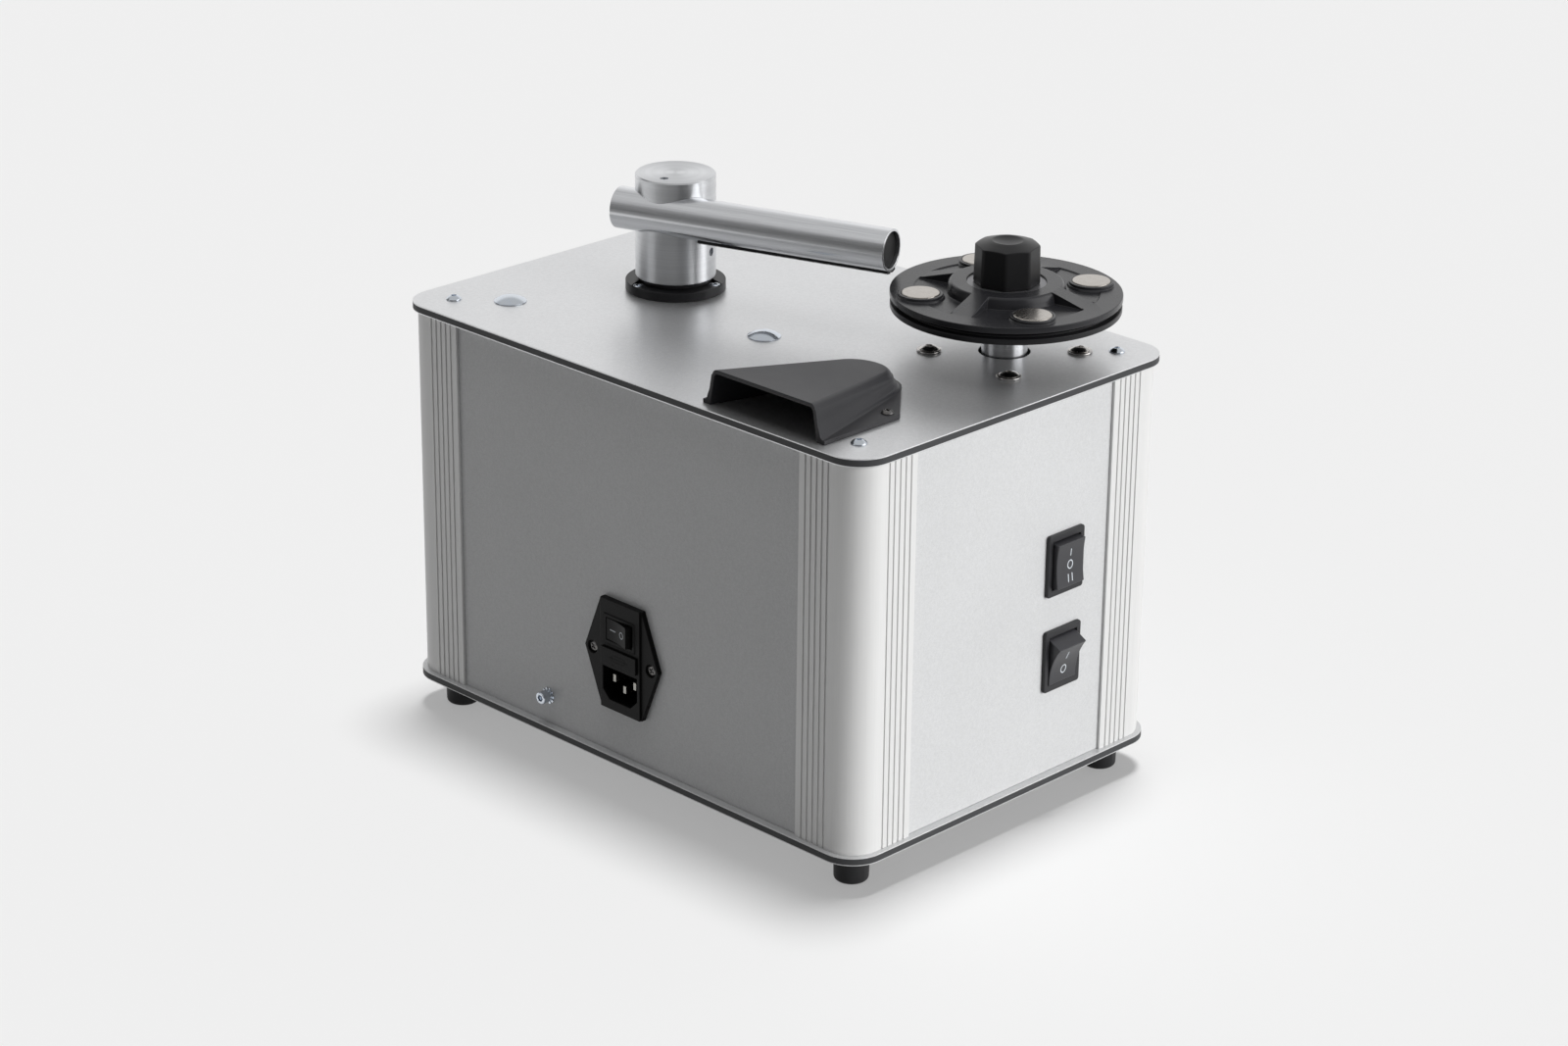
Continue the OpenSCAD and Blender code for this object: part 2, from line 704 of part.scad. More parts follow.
// Places on the plates
left_edge = -plate_length / 2;
right_edge = plate_length / 2;
rear_edge = -plate_width / 2;
front_edge = plate_width / 2;
panel_setback = post_inset + lip_wall + panel_play;
panel_face_x = right_edge - panel_setback;
panel_face_y = front_edge - panel_setback;
arm_x = left_edge + arm_from_left;
arm_y = rear_edge + arm_from_rear;
platter_x = right_edge - platter_from_right;
platter_y = front_edge - platter_from_front;
// From the column's axis to the platter's, and to the outer corner of the tube's front end
arm_to_platter = norm([platter_x - arm_x, platter_y - arm_y]);
tube_corner = arm_to_platter - clamp_radius - tube_gap;
// Along the tube, from beside the column's axis to the front end
tube_front = sqrt(pow(tube_corner, 2) - pow(tube_side + tube_radius, 2));
motor_x = platter_x + motor_shift_x;
motor_y = platter_y + motor_shift_y;
hood_x = right_edge - hood_from_right;
hood_y = rear_edge + hood_from_rear;
exhaust_y = hood_y + exhaust_back;
bolt_a = [left_edge + bolt_a_from_left, rear_edge + bolt_a_from_rear];
bolt_b = [left_edge + bolt_b_from_left, rear_edge + bolt_b_from_rear];
blower = (bolt_a + bolt_b) / 2;
tank_x = left_edge + tank_from_left + tank_length / 2;
tank_y = front_edge - tank_from_front - tank_width / 2;
air_spigot = [
  left_edge + tank_from_left + air_spigot_from_left,
  front_edge - tank_from_front - air_spigot_from_front
];
suction_y = arm_y + suction_run;
switch_y = front_edge - switch_from_front;
earth_x = left_edge + earth_from_left;
capacitor = [right_edge - capacitor_from_right, rear_edge + capacitor_from_rear];

// Sizes that follow from others
spigot_length = hose_overlap + hose_seat;
boss_offset = screw_inset - post_inset;
inner_lip_depth = lip_wall + panel_thickness + 2 * panel_play;
pipe_bore = pipe_radius - pipe_wall;
tube_bore = tube_radius - tube_wall;
suction_spigot = suction_bore + spigot_wall;
air_spigot_radius = air_bore + spigot_wall;
exhaust_spigot = exhaust_bore + spigot_wall;
exhaust_hole = exhaust_spigot;
spindle_top = z_platter_face + spindle_height;
magnet_top = z_clamp + clamp_thickness + magnet_proud;
rocker_room = rocker_width + 2 * rocker_side_gap;
inlet_face = inlet_flange_thickness + inlet_band_height;
inlet_frame_face = inlet_face + inlet_frame_step;

// Shared shapes

module rounded_rectangle(width, depth, radius) {
  square([width - 2 * radius, depth], center = true);
  square([width, depth - 2 * radius], center = true);
  for (sx = [-1, 1], sy = [-1, 1])
    translate([sx * (width / 2 - radius), sy * (depth / 2 - radius)]) circle(r = radius);
}

module ring(outer, inner, height) {
  difference() {
    cylinder(r = outer, h = height);
    translate([0, 0, -cut]) cylinder(r = inner, h = height + 2 * cut);
  }
}

// A flat-based spherical cap
module dome(radius, height) {
  sphere_radius = (radius * radius + height * height) / (2 * height);
  intersection() {
    translate([0, 0, height - sphere_radius]) sphere(r = sphere_radius);
    cylinder(r = radius, h = height);
  }
}

module hex_socket(flats, depth) {
  translate([0, 0, -depth]) cylinder(r = flats / sqrt(3), h = depth + cut, $fn = 6);
}

// A button-head screw: its head stands on z = 0 and its shank points down
module button_screw(radius, length, head_radius, head_height, socket) {
  difference() {
    union() {
      dome(head_radius, head_height);
      translate([0, 0, -length]) cylinder(r = radius, h = length + cut / 2);
    }
    translate([0, 0, head_height]) hex_socket(socket, head_height * 0.6);
  }
}

// A cross-recessed screw: its head stands on z = 0 and its shank points down
module cross_screw(radius, length, head_radius, head_height) {
  slot = head_radius * 0.35;
  difference() {
    union() {
      dome(head_radius, head_height);
      translate([0, 0, -length]) cylinder(r = radius, h = length + cut / 2);
    }
    for (turn = [0, 90])
      rotate([0, 0, turn])
        translate([0, 0, head_height])
          cube([head_radius * 1.2, slot, head_height * 1.2], center = true);
  }
}

// A hole down through a plate whose top is at z
module drill(x, y, z, radius, depth) {
  translate([x, y, z - depth - cut]) cylinder(r = radius, h = depth + 2 * cut);
}

module at_corners() {
  for (sx = [-1, 1], sy = [-1, 1])
    translate([sx * (plate_length / 2 - screw_inset), sy * (plate_width / 2 - screw_inset), 0])
      children();
}

module at_motor_screws() {
  for (sx = [-1, 1], sy = [-1, 1])
    translate([
      motor_x + sx * motor_screw_square / 2, motor_y + sy * motor_screw_square / 2, z_top
    ])
      children();
}

module at_flange_screws(z) {
  for (i = [0:2])
    translate([arm_x, arm_y, z])
      rotate([0, 0, flange_screw_angle + i * 120])
        translate([flange_screw_circle, 0, 0]) children();
}

module at_bolts() {
  for (place = [bolt_a, bolt_b]) translate([place[0], place[1], z_top]) children();
}

module at_hood_screws(z) {
  for (side = [-1, 1])
    translate([hood_x + side * hood_screw_offset, hood_y + hood_screw_back, z]) children();
}

// The arm's own frame: x runs along the suction tube, z = 0 is the column's foot
module in_arm() {
  translate([arm_x, arm_y, z_column]) rotate([0, 0, arm_angle]) children();
}

// The tube's own frame: z runs along the tube, x points down
module in_tube() {
  in_arm() translate([0, -tube_side, tube_height]) rotate([0, 90, 0]) children();
}

// A switch's own frame: x across, y up and z out of the panel
module in_switch(height) {
  translate([panel_face_x, switch_y, z_floor + height]) rotate([90, 0, 90]) children();
}

// The mains inlet's own frame: x across, y up and z out of the panel
module in_inlet() {
  translate([inlet_x, -panel_face_y, z_floor + inlet_height]) rotate([90, 0, 0]) children();
}

// Enclosure

module top_plate() {
  color([0.80, 0.80, 0.81]) difference() {
    translate([0, 0, z_under])
      linear_extrude(plate_thickness)
        rounded_rectangle(plate_length, plate_width, plate_corner_radius);
    at_corners() drill(0, 0, z_top, corner_screw_radius + screw_play, plate_thickness);
    drill(arm_x, arm_y, z_top, bush_radius + bush_plate_play, plate_thickness);
    at_flange_screws(z_top)
      drill(0, 0, 0, flange_screw_radius + screw_play, plate_thickness);
    drill(platter_x, platter_y, z_top, shaft_radius + shaft_play, plate_thickness);
    at_motor_screws() drill(0, 0, 0, motor_screw_radius + screw_play, plate_thickness);
    at_bolts() drill(0, 0, 0, bolt_radius + screw_play, plate_thickness);
    drill(hood_x, exhaust_y, z_top, exhaust_hole, plate_thickness);
    at_hood_screws(z_top) drill(0, 0, 0, hood_screw_radius + screw_play, plate_thickness);
  }
}

module bottom_plate() {
  color([0.72, 0.72, 0.73]) difference() {
    translate([0, 0, foot_height])
      linear_extrude(plate_thickness)
        rounded_rectangle(plate_length, plate_width, plate_corner_radius);
    at_corners() drill(0, 0, z_floor, corner_screw_radius + screw_play, plate_thickness);
    drill(tank_x, tank_y, z_floor, drain_radius + running_play, plate_thickness);
  }
}

// One leg of a post's section: x along the leg, y into the box
module post_leg_profile() {
  translate([post_corner_radius, 0]) square([slot_start - post_corner_radius, post_wall]);
  translate([post_corner_radius, 0]) square([post_leg - post_corner_radius, lip_wall]);
  translate([slot_start - slot_web, 0]) square([slot_web, boss_offset]);
  translate([slot_start - slot_web, inner_lip_depth]) square([inner_lip, lip_wall]);
}

module groove_cuts() {
  for (i = [0:groove_count - 1])
    translate([groove_first + i * groove_pitch - groove_width / 2, -cut])
      square([groove_width, cut + groove_depth]);
}

// A post's section, with its outer corner at the origin
module post_profile() {
  difference() {
    union() {
      intersection() {
        translate([post_corner_radius, post_corner_radius]) difference() {
          circle(r = post_corner_radius);
          circle(r = post_corner_radius - post_wall);
        }
        square(post_corner_radius);
      }
      post_leg_profile();
      mirror([1, -1]) post_leg_profile();
      translate([boss_offset, boss_offset]) circle(r = boss_radius);
    }
    translate([boss_offset, boss_offset]) circle(r = corner_screw_radius + screw_play);
    groove_cuts();
    mirror([1, -1]) groove_cuts();
  }
}

module corner_post(side_x, side_y) {
  color([0.78, 0.79, 0.80])
    translate([
      side_x * (plate_length / 2 - post_inset), side_y * (plate_width / 2 - post_inset),
      z_floor
    ])
      mirror([side_x > 0 ? 1 : 0, 0, 0])
        mirror([0, side_y > 0 ? 1 : 0, 0])
          linear_extrude(post_height) post_profile();
}

// A side panel, standing on y = 0 with its outer face towards -y
module panel(edge) {
  length = edge - 2 * (post_inset + slot_start + panel_end_play);
  translate([-length / 2, 0, z_floor + panel_play])
    cube([length, panel_thickness, post_height - 2 * panel_play]);
}

module rear_panel() {
  color([0.70, 0.71, 0.72]) difference() {
    translate([0, -panel_face_y, 0]) panel(plate_length);
    in_inlet() {
      cube([
        inlet_body_width + 2 * panel_play, inlet_body_height + 2 * panel_play,
        2 * panel_thickness + cut
      ], center = true);
      for (side = [-1, 1])
        translate([side * inlet_screw_spacing / 2, 0, -panel_thickness - cut])
          cylinder(r = inlet_screw_radius + screw_play, h = panel_thickness + 2 * cut);
    }
    translate([earth_x, -panel_face_y - cut, z_floor + earth_height])
      rotate([-90, 0, 0])
        cylinder(r = earth_screw_radius + screw_play, h = panel_thickness + 2 * cut);
  }
}

module front_panel() {
  color([0.70, 0.71, 0.72])
    rotate([0, 0, 180]) translate([0, -panel_face_y, 0]) panel(plate_length);
}

module end_panel() {
  color([0.70, 0.71, 0.72])
    rotate([0, 0, -90]) translate([0, -panel_face_x, 0]) panel(plate_width);
}

module switch_panel() {
  color([0.70, 0.71, 0.72]) difference() {
    rotate([0, 0, 90]) translate([0, -panel_face_x, 0]) panel(plate_width);
    for (height = [motor_switch_height, vacuum_switch_height])
      in_switch(height)
        cube([
          switch_body_width + 2 * panel_play, switch_body_height + 2 * panel_play,
          2 * panel_thickness + cut
        ], center = true);
  }
}

module rubber_feet() {
  color([0.10, 0.10, 0.10]) at_corners() rotate_extrude() difference() {
    union() {
      polygon([
        [0, 0], [foot_bottom_radius - foot_edge_radius, 0],
        [foot_bottom_radius, foot_edge_radius], [foot_top_radius, foot_height],
        [0, foot_height]
      ]);
      translate([foot_bottom_radius - foot_edge_radius, foot_edge_radius])
        circle(r = foot_edge_radius);
    }
    square([foot_recess_radius, z_foot_seat]);
    square([corner_screw_radius + screw_play, foot_height]);
    translate([-2 * foot_edge_radius, 0]) square([2 * foot_edge_radius, foot_height]);
  }
}

module corner_screws() {
  color([0.75, 0.76, 0.78]) at_corners() {
    translate([0, 0, z_top])
      button_screw(corner_screw_radius, corner_screw_length, corner_head_radius,
        corner_head_height, corner_socket);
    translate([0, 0, z_foot_seat])
      mirror([0, 0, 1])
        button_screw(corner_screw_radius, corner_screw_length, corner_head_radius,
          corner_head_height, corner_socket);
  }
}

// Suction arm

module arm_flange() {
  color([0.10, 0.10, 0.11]) difference() {
    translate([arm_x, arm_y, z_top])
      ring(flange_radius, bush_radius + running_play, flange_height);
    at_flange_screws(z_flange) {
      drill(0, 0, 0, flange_screw_radius + screw_play, flange_height);
      translate([0, 0, -flange_screw_head_depth])
        cylinder(r1 = flange_screw_radius + screw_play,
          r2 = flange_screw_head + screw_play, h = flange_screw_head_depth);
    }
  }
}

module flange_screws() {
  color([0.78, 0.78, 0.80]) at_flange_screws(z_flange) difference() {
    union() {
      translate([0, 0, -flange_screw_length])
        cylinder(r = flange_screw_radius, h = flange_screw_length);
      translate([0, 0, -flange_screw_head_depth])
        cylinder(r1 = flange_screw_radius, r2 = flange_screw_head,
          h = flange_screw_head_depth);
    }
    hex_socket(flange_screw_radius * 1.3, flange_screw_head_depth);
  }
}

module guide_bush() {
  color([0.12, 0.12, 0.13]) translate([arm_x, arm_y, 0]) difference() {
    union() {
      translate([0, 0, z_under + running_play])
        cylinder(r = bush_radius, h = z_flange - z_under);
      translate([0, 0, z_flange]) cylinder(r = bush_collar_radius, h = bush_collar_height);
    }
    drill(0, 0, z_column, pipe_radius + running_play, z_column - z_under);
  }
}

module swivel_gland() {
  chamber = gland_radius - gland_wall;
  color([0.20, 0.20, 0.22]) translate([arm_x, arm_y, 0]) difference() {
    union() {
      translate([0, 0, z_under - gland_depth]) cylinder(r = gland_radius, h = gland_depth);
      translate([0, 0, z_suction])
        rotate([-90, 0, 0]) cylinder(r = suction_spigot, h = gland_spigot);
    }
    drill(0, 0, z_under, pipe_radius + running_play, gland_guide);
    translate([0, 0, z_under - gland_depth + gland_wall])
      cylinder(r = chamber, h = gland_depth - gland_wall - gland_guide);
    translate([0, 0, z_suction])
      rotate([-90, 0, 0]) cylinder(r = suction_bore, h = gland_spigot + cut);
  }
}

module arm_pipe() {
  color([0.74, 0.75, 0.77]) translate([arm_x, arm_y, z_pipe_foot])
    ring(pipe_radius, pipe_bore, z_pipe_top - z_pipe_foot);
}

// The upper set screw stands on the tube
module set_screw_places() {
  top_screw_head = tube_height + tube_radius + screw_play + set_screw_length;
  translate([0, -top_set_screw_radius, top_screw_head]) children();
  translate([pipe_radius + screw_play + set_screw_length, 0, side_set_screw_height])
    rotate([0, 90, 0]) children();
}

module arm_column() {
  color([0.80, 0.81, 0.83]) in_arm() difference() {
    rotate_extrude() polygon([
      [0, 0], [column_radius - column_chamfer, 0], [column_radius, column_chamfer],
      [column_radius, column_height - column_chamfer],
      [column_radius - column_chamfer, column_height], [0, column_height]
    ]);
    translate([0, 0, -cut])
      cylinder(r = pipe_radius + screw_play, h = z_pipe_top - z_column + cut);
    translate([0, 0, -cut])
      cylinder(r = bush_collar_radius + running_play, h = arm_sink + running_play + cut);
    cylinder(r = duct_radius, h = tube_height);
    translate([0, -tube_side, tube_height])
      rotate([0, 90, 0])
        cylinder(r = tube_radius + screw_play, h = 3 * column_radius, center = true);
    set_screw_places()
      translate([0, 0, -set_screw_length - cut])
        cylinder(r = set_screw_radius + screw_play, h = set_screw_length + 4 * cut);
  }
}

module set_screws() {
  color([0.25, 0.25, 0.26]) in_arm() set_screw_places() difference() {
    translate([0, 0, -set_screw_length]) cylinder(r = set_screw_radius, h = set_screw_length);
    hex_socket(set_screw_socket, set_screw_length / 3);
  }
}

module suction_tube() {
  slot_near = column_radius + slot_gap;
  slot_length = tube_front - slot_end_gap - slot_near;
  color([0.82, 0.83, 0.85]) in_tube() difference() {
    translate([0, 0, -tube_back]) ring(tube_radius, tube_bore, tube_front + tube_back);
    translate([0, tube_side, 0])
      rotate([0, 90, 0]) cylinder(r = duct_radius, h = tube_radius + cut);
    translate([0, -slot_width / 2, slot_near])
      cube([tube_radius + cut, slot_width, slot_length]);
  }
}

module tube_plugs() {
  color([0.08, 0.08, 0.08]) in_tube() {
    for (z = [-tube_back + plug_recess, tube_front - plug_recess - plug_length])
      translate([0, 0, z]) cylinder(r = tube_bore - screw_play, h = plug_length);
  }
}

module velvet_strips() {
  near = column_radius + velvet_gap;
  slot_angle = asin(slot_width / 2 / tube_radius);
  color([0.05, 0.05, 0.06]) in_tube() {
    for (start = [slot_angle, -slot_angle - velvet_angle])
      rotate([0, 0, start])
        rotate_extrude(angle = velvet_angle)
          translate([tube_radius, near])
            square([velvet_thickness, tube_front - near]);
  }
}

// Suction, waste and air

// A quarter bend in the xz plane, from vertical at the origin to horizontal towards +x
module quarter_bend(bend_radius, radius) {
  translate([bend_radius, 0, 0])
    rotate([90, 0, 0])
      rotate([0, 0, 90])
        rotate_extrude(angle = 90) translate([bend_radius, 0]) circle(r = radius);
}

module suction_hose_form(radius) {
  start = gland_spigot - hose_overlap;
  translate([arm_x, suction_y, 0]) rotate([0, 0, -90]) {
    translate([0, 0, z_tank_top + hose_seat])
      cylinder(r = radius, h = z_suction - suction_bend - z_tank_top - hose_seat);
    translate([0, 0, z_suction - suction_bend]) quarter_bend(suction_bend, radius);
    translate([suction_bend, 0, z_suction])
      rotate([0, 90, 0]) cylinder(r = radius, h = suction_run - suction_bend - start);
  }
}

module suction_hose() {
  color([0.30, 0.31, 0.33]) difference() {
    suction_hose_form(suction_spigot + hose_wall);
    suction_hose_form(suction_spigot);
  }
}

module air_hose_form(radius) {
  run = blower - air_spigot;
  // A whole hundredth of a millimetre, so that the bends and the run between them meet exactly
  span = round(norm(run) * 100) / 100;
  translate([air_spigot[0], air_spigot[1], 0]) rotate([0, 0, atan2(run[1], run[0])]) {
    translate([0, 0, z_tank_top + hose_seat])
      cylinder(r = radius, h = z_air - air_bend - z_tank_top - hose_seat);
    translate([0, 0, z_air - air_bend]) quarter_bend(air_bend, radius);
    translate([air_bend, 0, z_air])
      rotate([0, 90, 0]) cylinder(r = radius, h = span - 2 * air_bend);
    translate([span, 0, z_air - air_bend])
      rotate([0, 0, 180]) quarter_bend(air_bend, radius);
    translate([span, 0, z_casing_top + hose_seat])
      cylinder(r = radius, h = z_air - air_bend - z_casing_top - hose_seat);
  }
}

module air_hose() {
  color([0.30, 0.31, 0.33]) difference() {
    air_hose_form(air_spigot_radius + hose_wall);
    air_hose_form(air_spigot_radius);
  }
}

module waste_tank() {
  drain_floor = foot_height - drain_drop;
  color([0.86, 0.87, 0.88]) difference() {
    union() {
      translate([tank_x, tank_y, z_floor])
        linear_extrude(tank_height)
          rounded_rectangle(tank_length, tank_width, tank_edge_radius);
      translate([arm_x, suction_y, z_tank_top])
        cylinder(r = suction_spigot, h = spigot_length);
      translate([air_spigot[0], air_spigot[1], z_tank_top])
        cylinder(r = air_spigot_radius, h = spigot_length);
      translate([tank_x, tank_y, drain_floor])
        cylinder(r = drain_radius, h = z_floor - drain_floor + cut);
    }
    translate([tank_x, tank_y, z_floor + tank_wall])
      linear_extrude(tank_height - 2 * tank_wall)
        rounded_rectangle(tank_length - 2 * tank_wall, tank_width - 2 * tank_wall,
          tank_edge_radius - tank_wall);
    drill(arm_x, suction_y, z_tank_top + spigot_length, suction_bore,
      spigot_length + tank_wall);
    drill(air_spigot[0], air_spigot[1], z_tank_top + spigot_length, air_bore,
      spigot_length + tank_wall);
    drill(tank_x, tank_y, z_floor + tank_wall, drain_plug_radius + screw_play,
      z_floor + tank_wall - drain_floor);
  }
}

module drain_plug() {
  drain_floor = foot_height - drain_drop;
  color([0.15, 0.15, 0.16]) translate([tank_x, tank_y, drain_floor]) {
    translate([0, 0, -drain_plug_head]) cylinder(r = drain_radius, h = drain_plug_head);
    cylinder(r = drain_plug_radius, h = z_floor - drain_floor);
  }
}

module blower_casing() {
  color([0.55, 0.56, 0.58]) translate([blower[0], blower[1], 0]) difference() {
    union() {
      translate([0, 0, z_casing]) cylinder(r = casing_radius, h = casing_height);
      translate([0, 0, z_casing_top]) cylinder(r = air_spigot_radius, h = spigot_length);
      translate([0, exhaust_y - blower[1], z_exhaust])
        rotate([0, 90, 0])
          cylinder(r = exhaust_spigot, h = casing_radius + spigot_length);
    }
    translate([0, 0, z_casing + casing_wall])
      cylinder(r = casing_radius - casing_wall, h = casing_height - 2 * casing_wall);
    drill(0, 0, z_casing_top + spigot_length, air_bore, spigot_length + casing_wall);
    drill(0, 0, z_casing + casing_wall, blower_shaft_radius + casing_wall, casing_wall);
    translate([0, exhaust_y - blower[1], z_exhaust])
      rotate([0, 90, 0])
        cylinder(r = exhaust_bore, h = casing_radius + spigot_length + cut);
  }
}

module blower_motor() {
  color([0.35, 0.36, 0.38])
    translate([blower[0], blower[1], z_casing - blower_motor_height]) difference() {
      cylinder(r = blower_motor_radius, h = blower_motor_height);
      drill(0, 0, blower_motor_height, blower_shaft_radius + running_play,
        blower_shaft_reach);
    }
}

module blower_impeller() {
  foot = z_casing + casing_wall + impeller_gap;
  color([0.65, 0.66, 0.68]) translate([blower[0], blower[1], 0]) {
    translate([0, 0, z_casing - blower_shaft_reach])
      cylinder(r = blower_shaft_radius, h = foot - z_casing + blower_shaft_reach);
    translate([0, 0, foot]) {
      cylinder(r = impeller_radius, h = casing_wall);
      cylinder(r = 2 * blower_shaft_radius, h = impeller_height);
      for (i = [0:blade_count - 1])
        rotate([0, 0, i * 360 / blade_count])
          translate([blower_shaft_radius, -casing_wall / 2, 0])
            cube([
              impeller_radius - 1.5 * blower_shaft_radius, casing_wall,
              impeller_height
            ]);
    }
  }
}

module bracket_ear(bolt) {
  reach = norm(bolt - blower);
  rotate([0, 0, atan2(bolt[1] - blower[1], bolt[0] - blower[0])]) {
    translate([bracket_bore, -ear_width / 2, 0])
      cube([reach - bracket_bore, ear_width, bracket_thickness]);
    translate([reach, 0, 0]) cylinder(r = sleeve_radius, h = sleeve_height);
  }
}

module blower_bracket() {
  color([0.45, 0.46, 0.48]) difference() {
    translate([blower[0], blower[1], z_casing_top]) difference() {
      union() {
        cylinder(r = bracket_radius, h = bracket_thickness);
        bracket_ear(bolt_a);
        bracket_ear(bolt_b);
      }
      drill(0, 0, bracket_thickness, bracket_bore, bracket_thickness);
    }
    at_bolts() drill(0, 0, -plate_thickness, bolt_radius + screw_play, sleeve_height);
  }
}

module carriage_bolts() {
  color([0.78, 0.79, 0.81]) at_bolts() {
    dome(bolt_head_radius, bolt_head_height);
    translate([0, 0, -bolt_length]) cylinder(r = bolt_radius, h = bolt_length + cut / 2);
  }
}

module exhaust_hose_form(radius) {
  start = blower[0] + casing_radius + hose_seat;
  translate([hood_x, exhaust_y, z_exhaust]) {
    translate([start - hood_x, 0, 0])
      rotate([0, 90, 0]) cylinder(r = radius, h = hood_x - exhaust_bend - start);
    translate([-exhaust_bend, 0, 0])
      rotate([0, 90, 0]) mirror([1, 0, 0]) quarter_bend(exhaust_bend, radius);
    translate([0, 0, exhaust_bend])
      cylinder(r = radius, h = z_under - z_exhaust - exhaust_bend);
  }
}

module exhaust_hose() {
  color([0.30, 0.31, 0.33]) difference() {
    exhaust_hose_form(exhaust_spigot + hose_wall);
    exhaust_hose_form(exhaust_spigot);
  }
}

// Exhaust hood, in its own frame: the mouth is at y = 0 and the back towards +y

module hood_flange() {
  clip = (hood_flange_width - hood_flange_back) / 2;
  half = hood_flange_width / 2;
  polygon([
    [-half, 0], [half, 0], [half, hood_flange_side], [half - clip, hood_flange_side + clip],
    [clip - half, hood_flange_side + clip], [-half, hood_flange_side]
  ]);
  translate([0, hood_length]) circle(r = hood_flange_back);
}

// The hood's solid form, drawn in by inset on every side and run out past the mouth
module hood_form(inset) {
  overrun = 4;
  flare = overrun * (hood_foot_width / 2 - hood_foot_back) / hood_length;
  fall = (hood_height - hood_back_height) / hood_length;
  edge = max(hood_edge_radius - inset, 1);
  base = inset > 0 ? -cut : 0;
  hull() {
    for (side = [-1, 1]) {
      translate([side * (hood_foot_width / 2 + flare - inset), -overrun, base])
        cylinder(r = 0.01, h = 0.1, $fn = 8);
      translate([
        side * (hood_top_width / 2 + flare - inset - edge), -overrun,
        hood_height + overrun * fall - inset - edge
      ])
        sphere(r = edge, $fn = 32);
    }
    translate([0, hood_length, base])
      cylinder(r = hood_foot_back - inset, h = 0.1, $fn = 48);
    translate([0, hood_length, hood_back_height - inset - edge])
      rotate([-atan(fall), 0, 0])
        rotate_extrude($fn = 48)
          translate([hood_top_back - inset - edge, 0]) circle(r = edge, $fn = 24);
  }
}

module exhaust_hood() {
  room = 2 * hood_flange_width;
  color([0.12, 0.12, 0.13]) translate([hood_x, hood_y, z_top]) difference() {
    union() {
      intersection() {
        hood_form(0);
        translate([-room / 2, 0, 0]) cube([room, room, room]);
      }
      linear_extrude(hood_flange_thickness) hood_flange();
    }
    hood_form(hood_wall);
    for (side = [-1, 1])
      translate([side * hood_screw_offset, hood_screw_back, 0])
        drill(0, 0, hood_flange_thickness, hood_screw_radius + screw_play,
          hood_flange_thickness);
  }
}

module hood_screws() {
  color([0.08, 0.08, 0.08]) at_hood_screws(z_top + hood_flange_thickness)
    cross_screw(hood_screw_radius, hood_screw_length, hood_screw_head,
      hood_screw_head_height);
}

// Drive and platter

module gear_motor() {
  color([0.62, 0.63, 0.65]) difference() {
    union() {
      translate([motor_x, motor_y, z_under - gearbox_height])
        linear_extrude(gearbox_height)
          rounded_rectangle(gearbox_side, gearbox_side, gearbox_side / 10);
      translate([motor_x, motor_y, z_under - gearbox_height - gear_motor_height])
        cylinder(r = gear_motor_radius, h = gear_motor_height + cut);
    }
    drill(platter_x, platter_y, z_under, output_radius + running_play, output_length);
    at_motor_screws() drill(0, 0, 0, motor_screw_radius + screw_play, motor_screw_length);
  }
}

module motor_screws() {
  color([0.40, 0.39, 0.38]) at_motor_screws() difference() {
    union() {
      cylinder(r = motor_screw_flange, h = motor_screw_flange_height);
      translate([0, 0, motor_screw_flange_height])
        dome(motor_screw_head, motor_screw_head_height - motor_screw_flange_height);
      translate([0, 0, -motor_screw_length])
        cylinder(r = motor_screw_radius, h = motor_screw_length + cut / 2);
    }
    translate([0, 0, motor_screw_head_height])
      hex_socket(motor_screw_socket, motor_screw_head_height * 0.6);
  }
}

module drive_shaft() {
  color([0.70, 0.71, 0.73]) translate([platter_x, platter_y, 0]) difference() {
    union() {
      translate([0, 0, z_under - output_length])
        cylinder(r = output_radius, h = output_length + shaft_gap + cut);
      translate([0, 0, z_under + shaft_gap])
        cylinder(r = shaft_radius, h = z_platter - z_under - shaft_gap);
    }
    drill(0, 0, z_platter, spindle_radius + screw_play, spindle_depth - cut);
  }
}

module lower_platter() {
  color([0.16, 0.16, 0.17]) translate([platter_x, platter_y, z_platter])
    ring(platter_radius, spindle_radius + screw_play, platter_thickness);
}

module lower_seal() {
  color([0.05, 0.05, 0.05]) translate([platter_x, platter_y, z_platter_face])
    ring(seal_radius, seal_radius - seal_width, seal_thickness);
}

module spindle() {
  thread_start = z_platter_face + spindle_plain;
  color([0.76, 0.77, 0.79]) translate([platter_x, platter_y, 0]) {
    translate([0, 0, z_platter - spindle_depth])
      cylinder(r = spindle_radius, h = thread_start - z_platter + spindle_depth);
    translate([0, 0, z_platter]) cylinder(r = thread_radius, h = spindle_top - z_platter);
  }
}

module clamp_spoke() {
  tip = clamp_rim_radius + clamp_floor_depth;
  root = (ring_radius + hub_top_radius) / 2;
  top = clamp_thickness + hub_height;
  intersection() {
    rotate([90, 0, 0])
      translate([0, 0, -spoke_tip])
        linear_extrude(2 * spoke_tip) polygon([
          [root, clamp_floor_depth], [tip, clamp_floor_depth],
          [tip, clamp_thickness], [clamp_rim_radius, clamp_thickness],
          [hub_top_radius, top], [root, top]
        ]);
    linear_extrude(2 * top) polygon([
      [root, -spoke_root / 2], [tip, -spoke_tip / 2], [tip, spoke_tip / 2],
      [root, spoke_root / 2]
    ]);
  }
}

module at_magnets() {
  for (i = [0:3])
    rotate([0, 0, spoke_angle + 45 + i * 90]) translate([magnet_circle, 0, 0]) children();
}

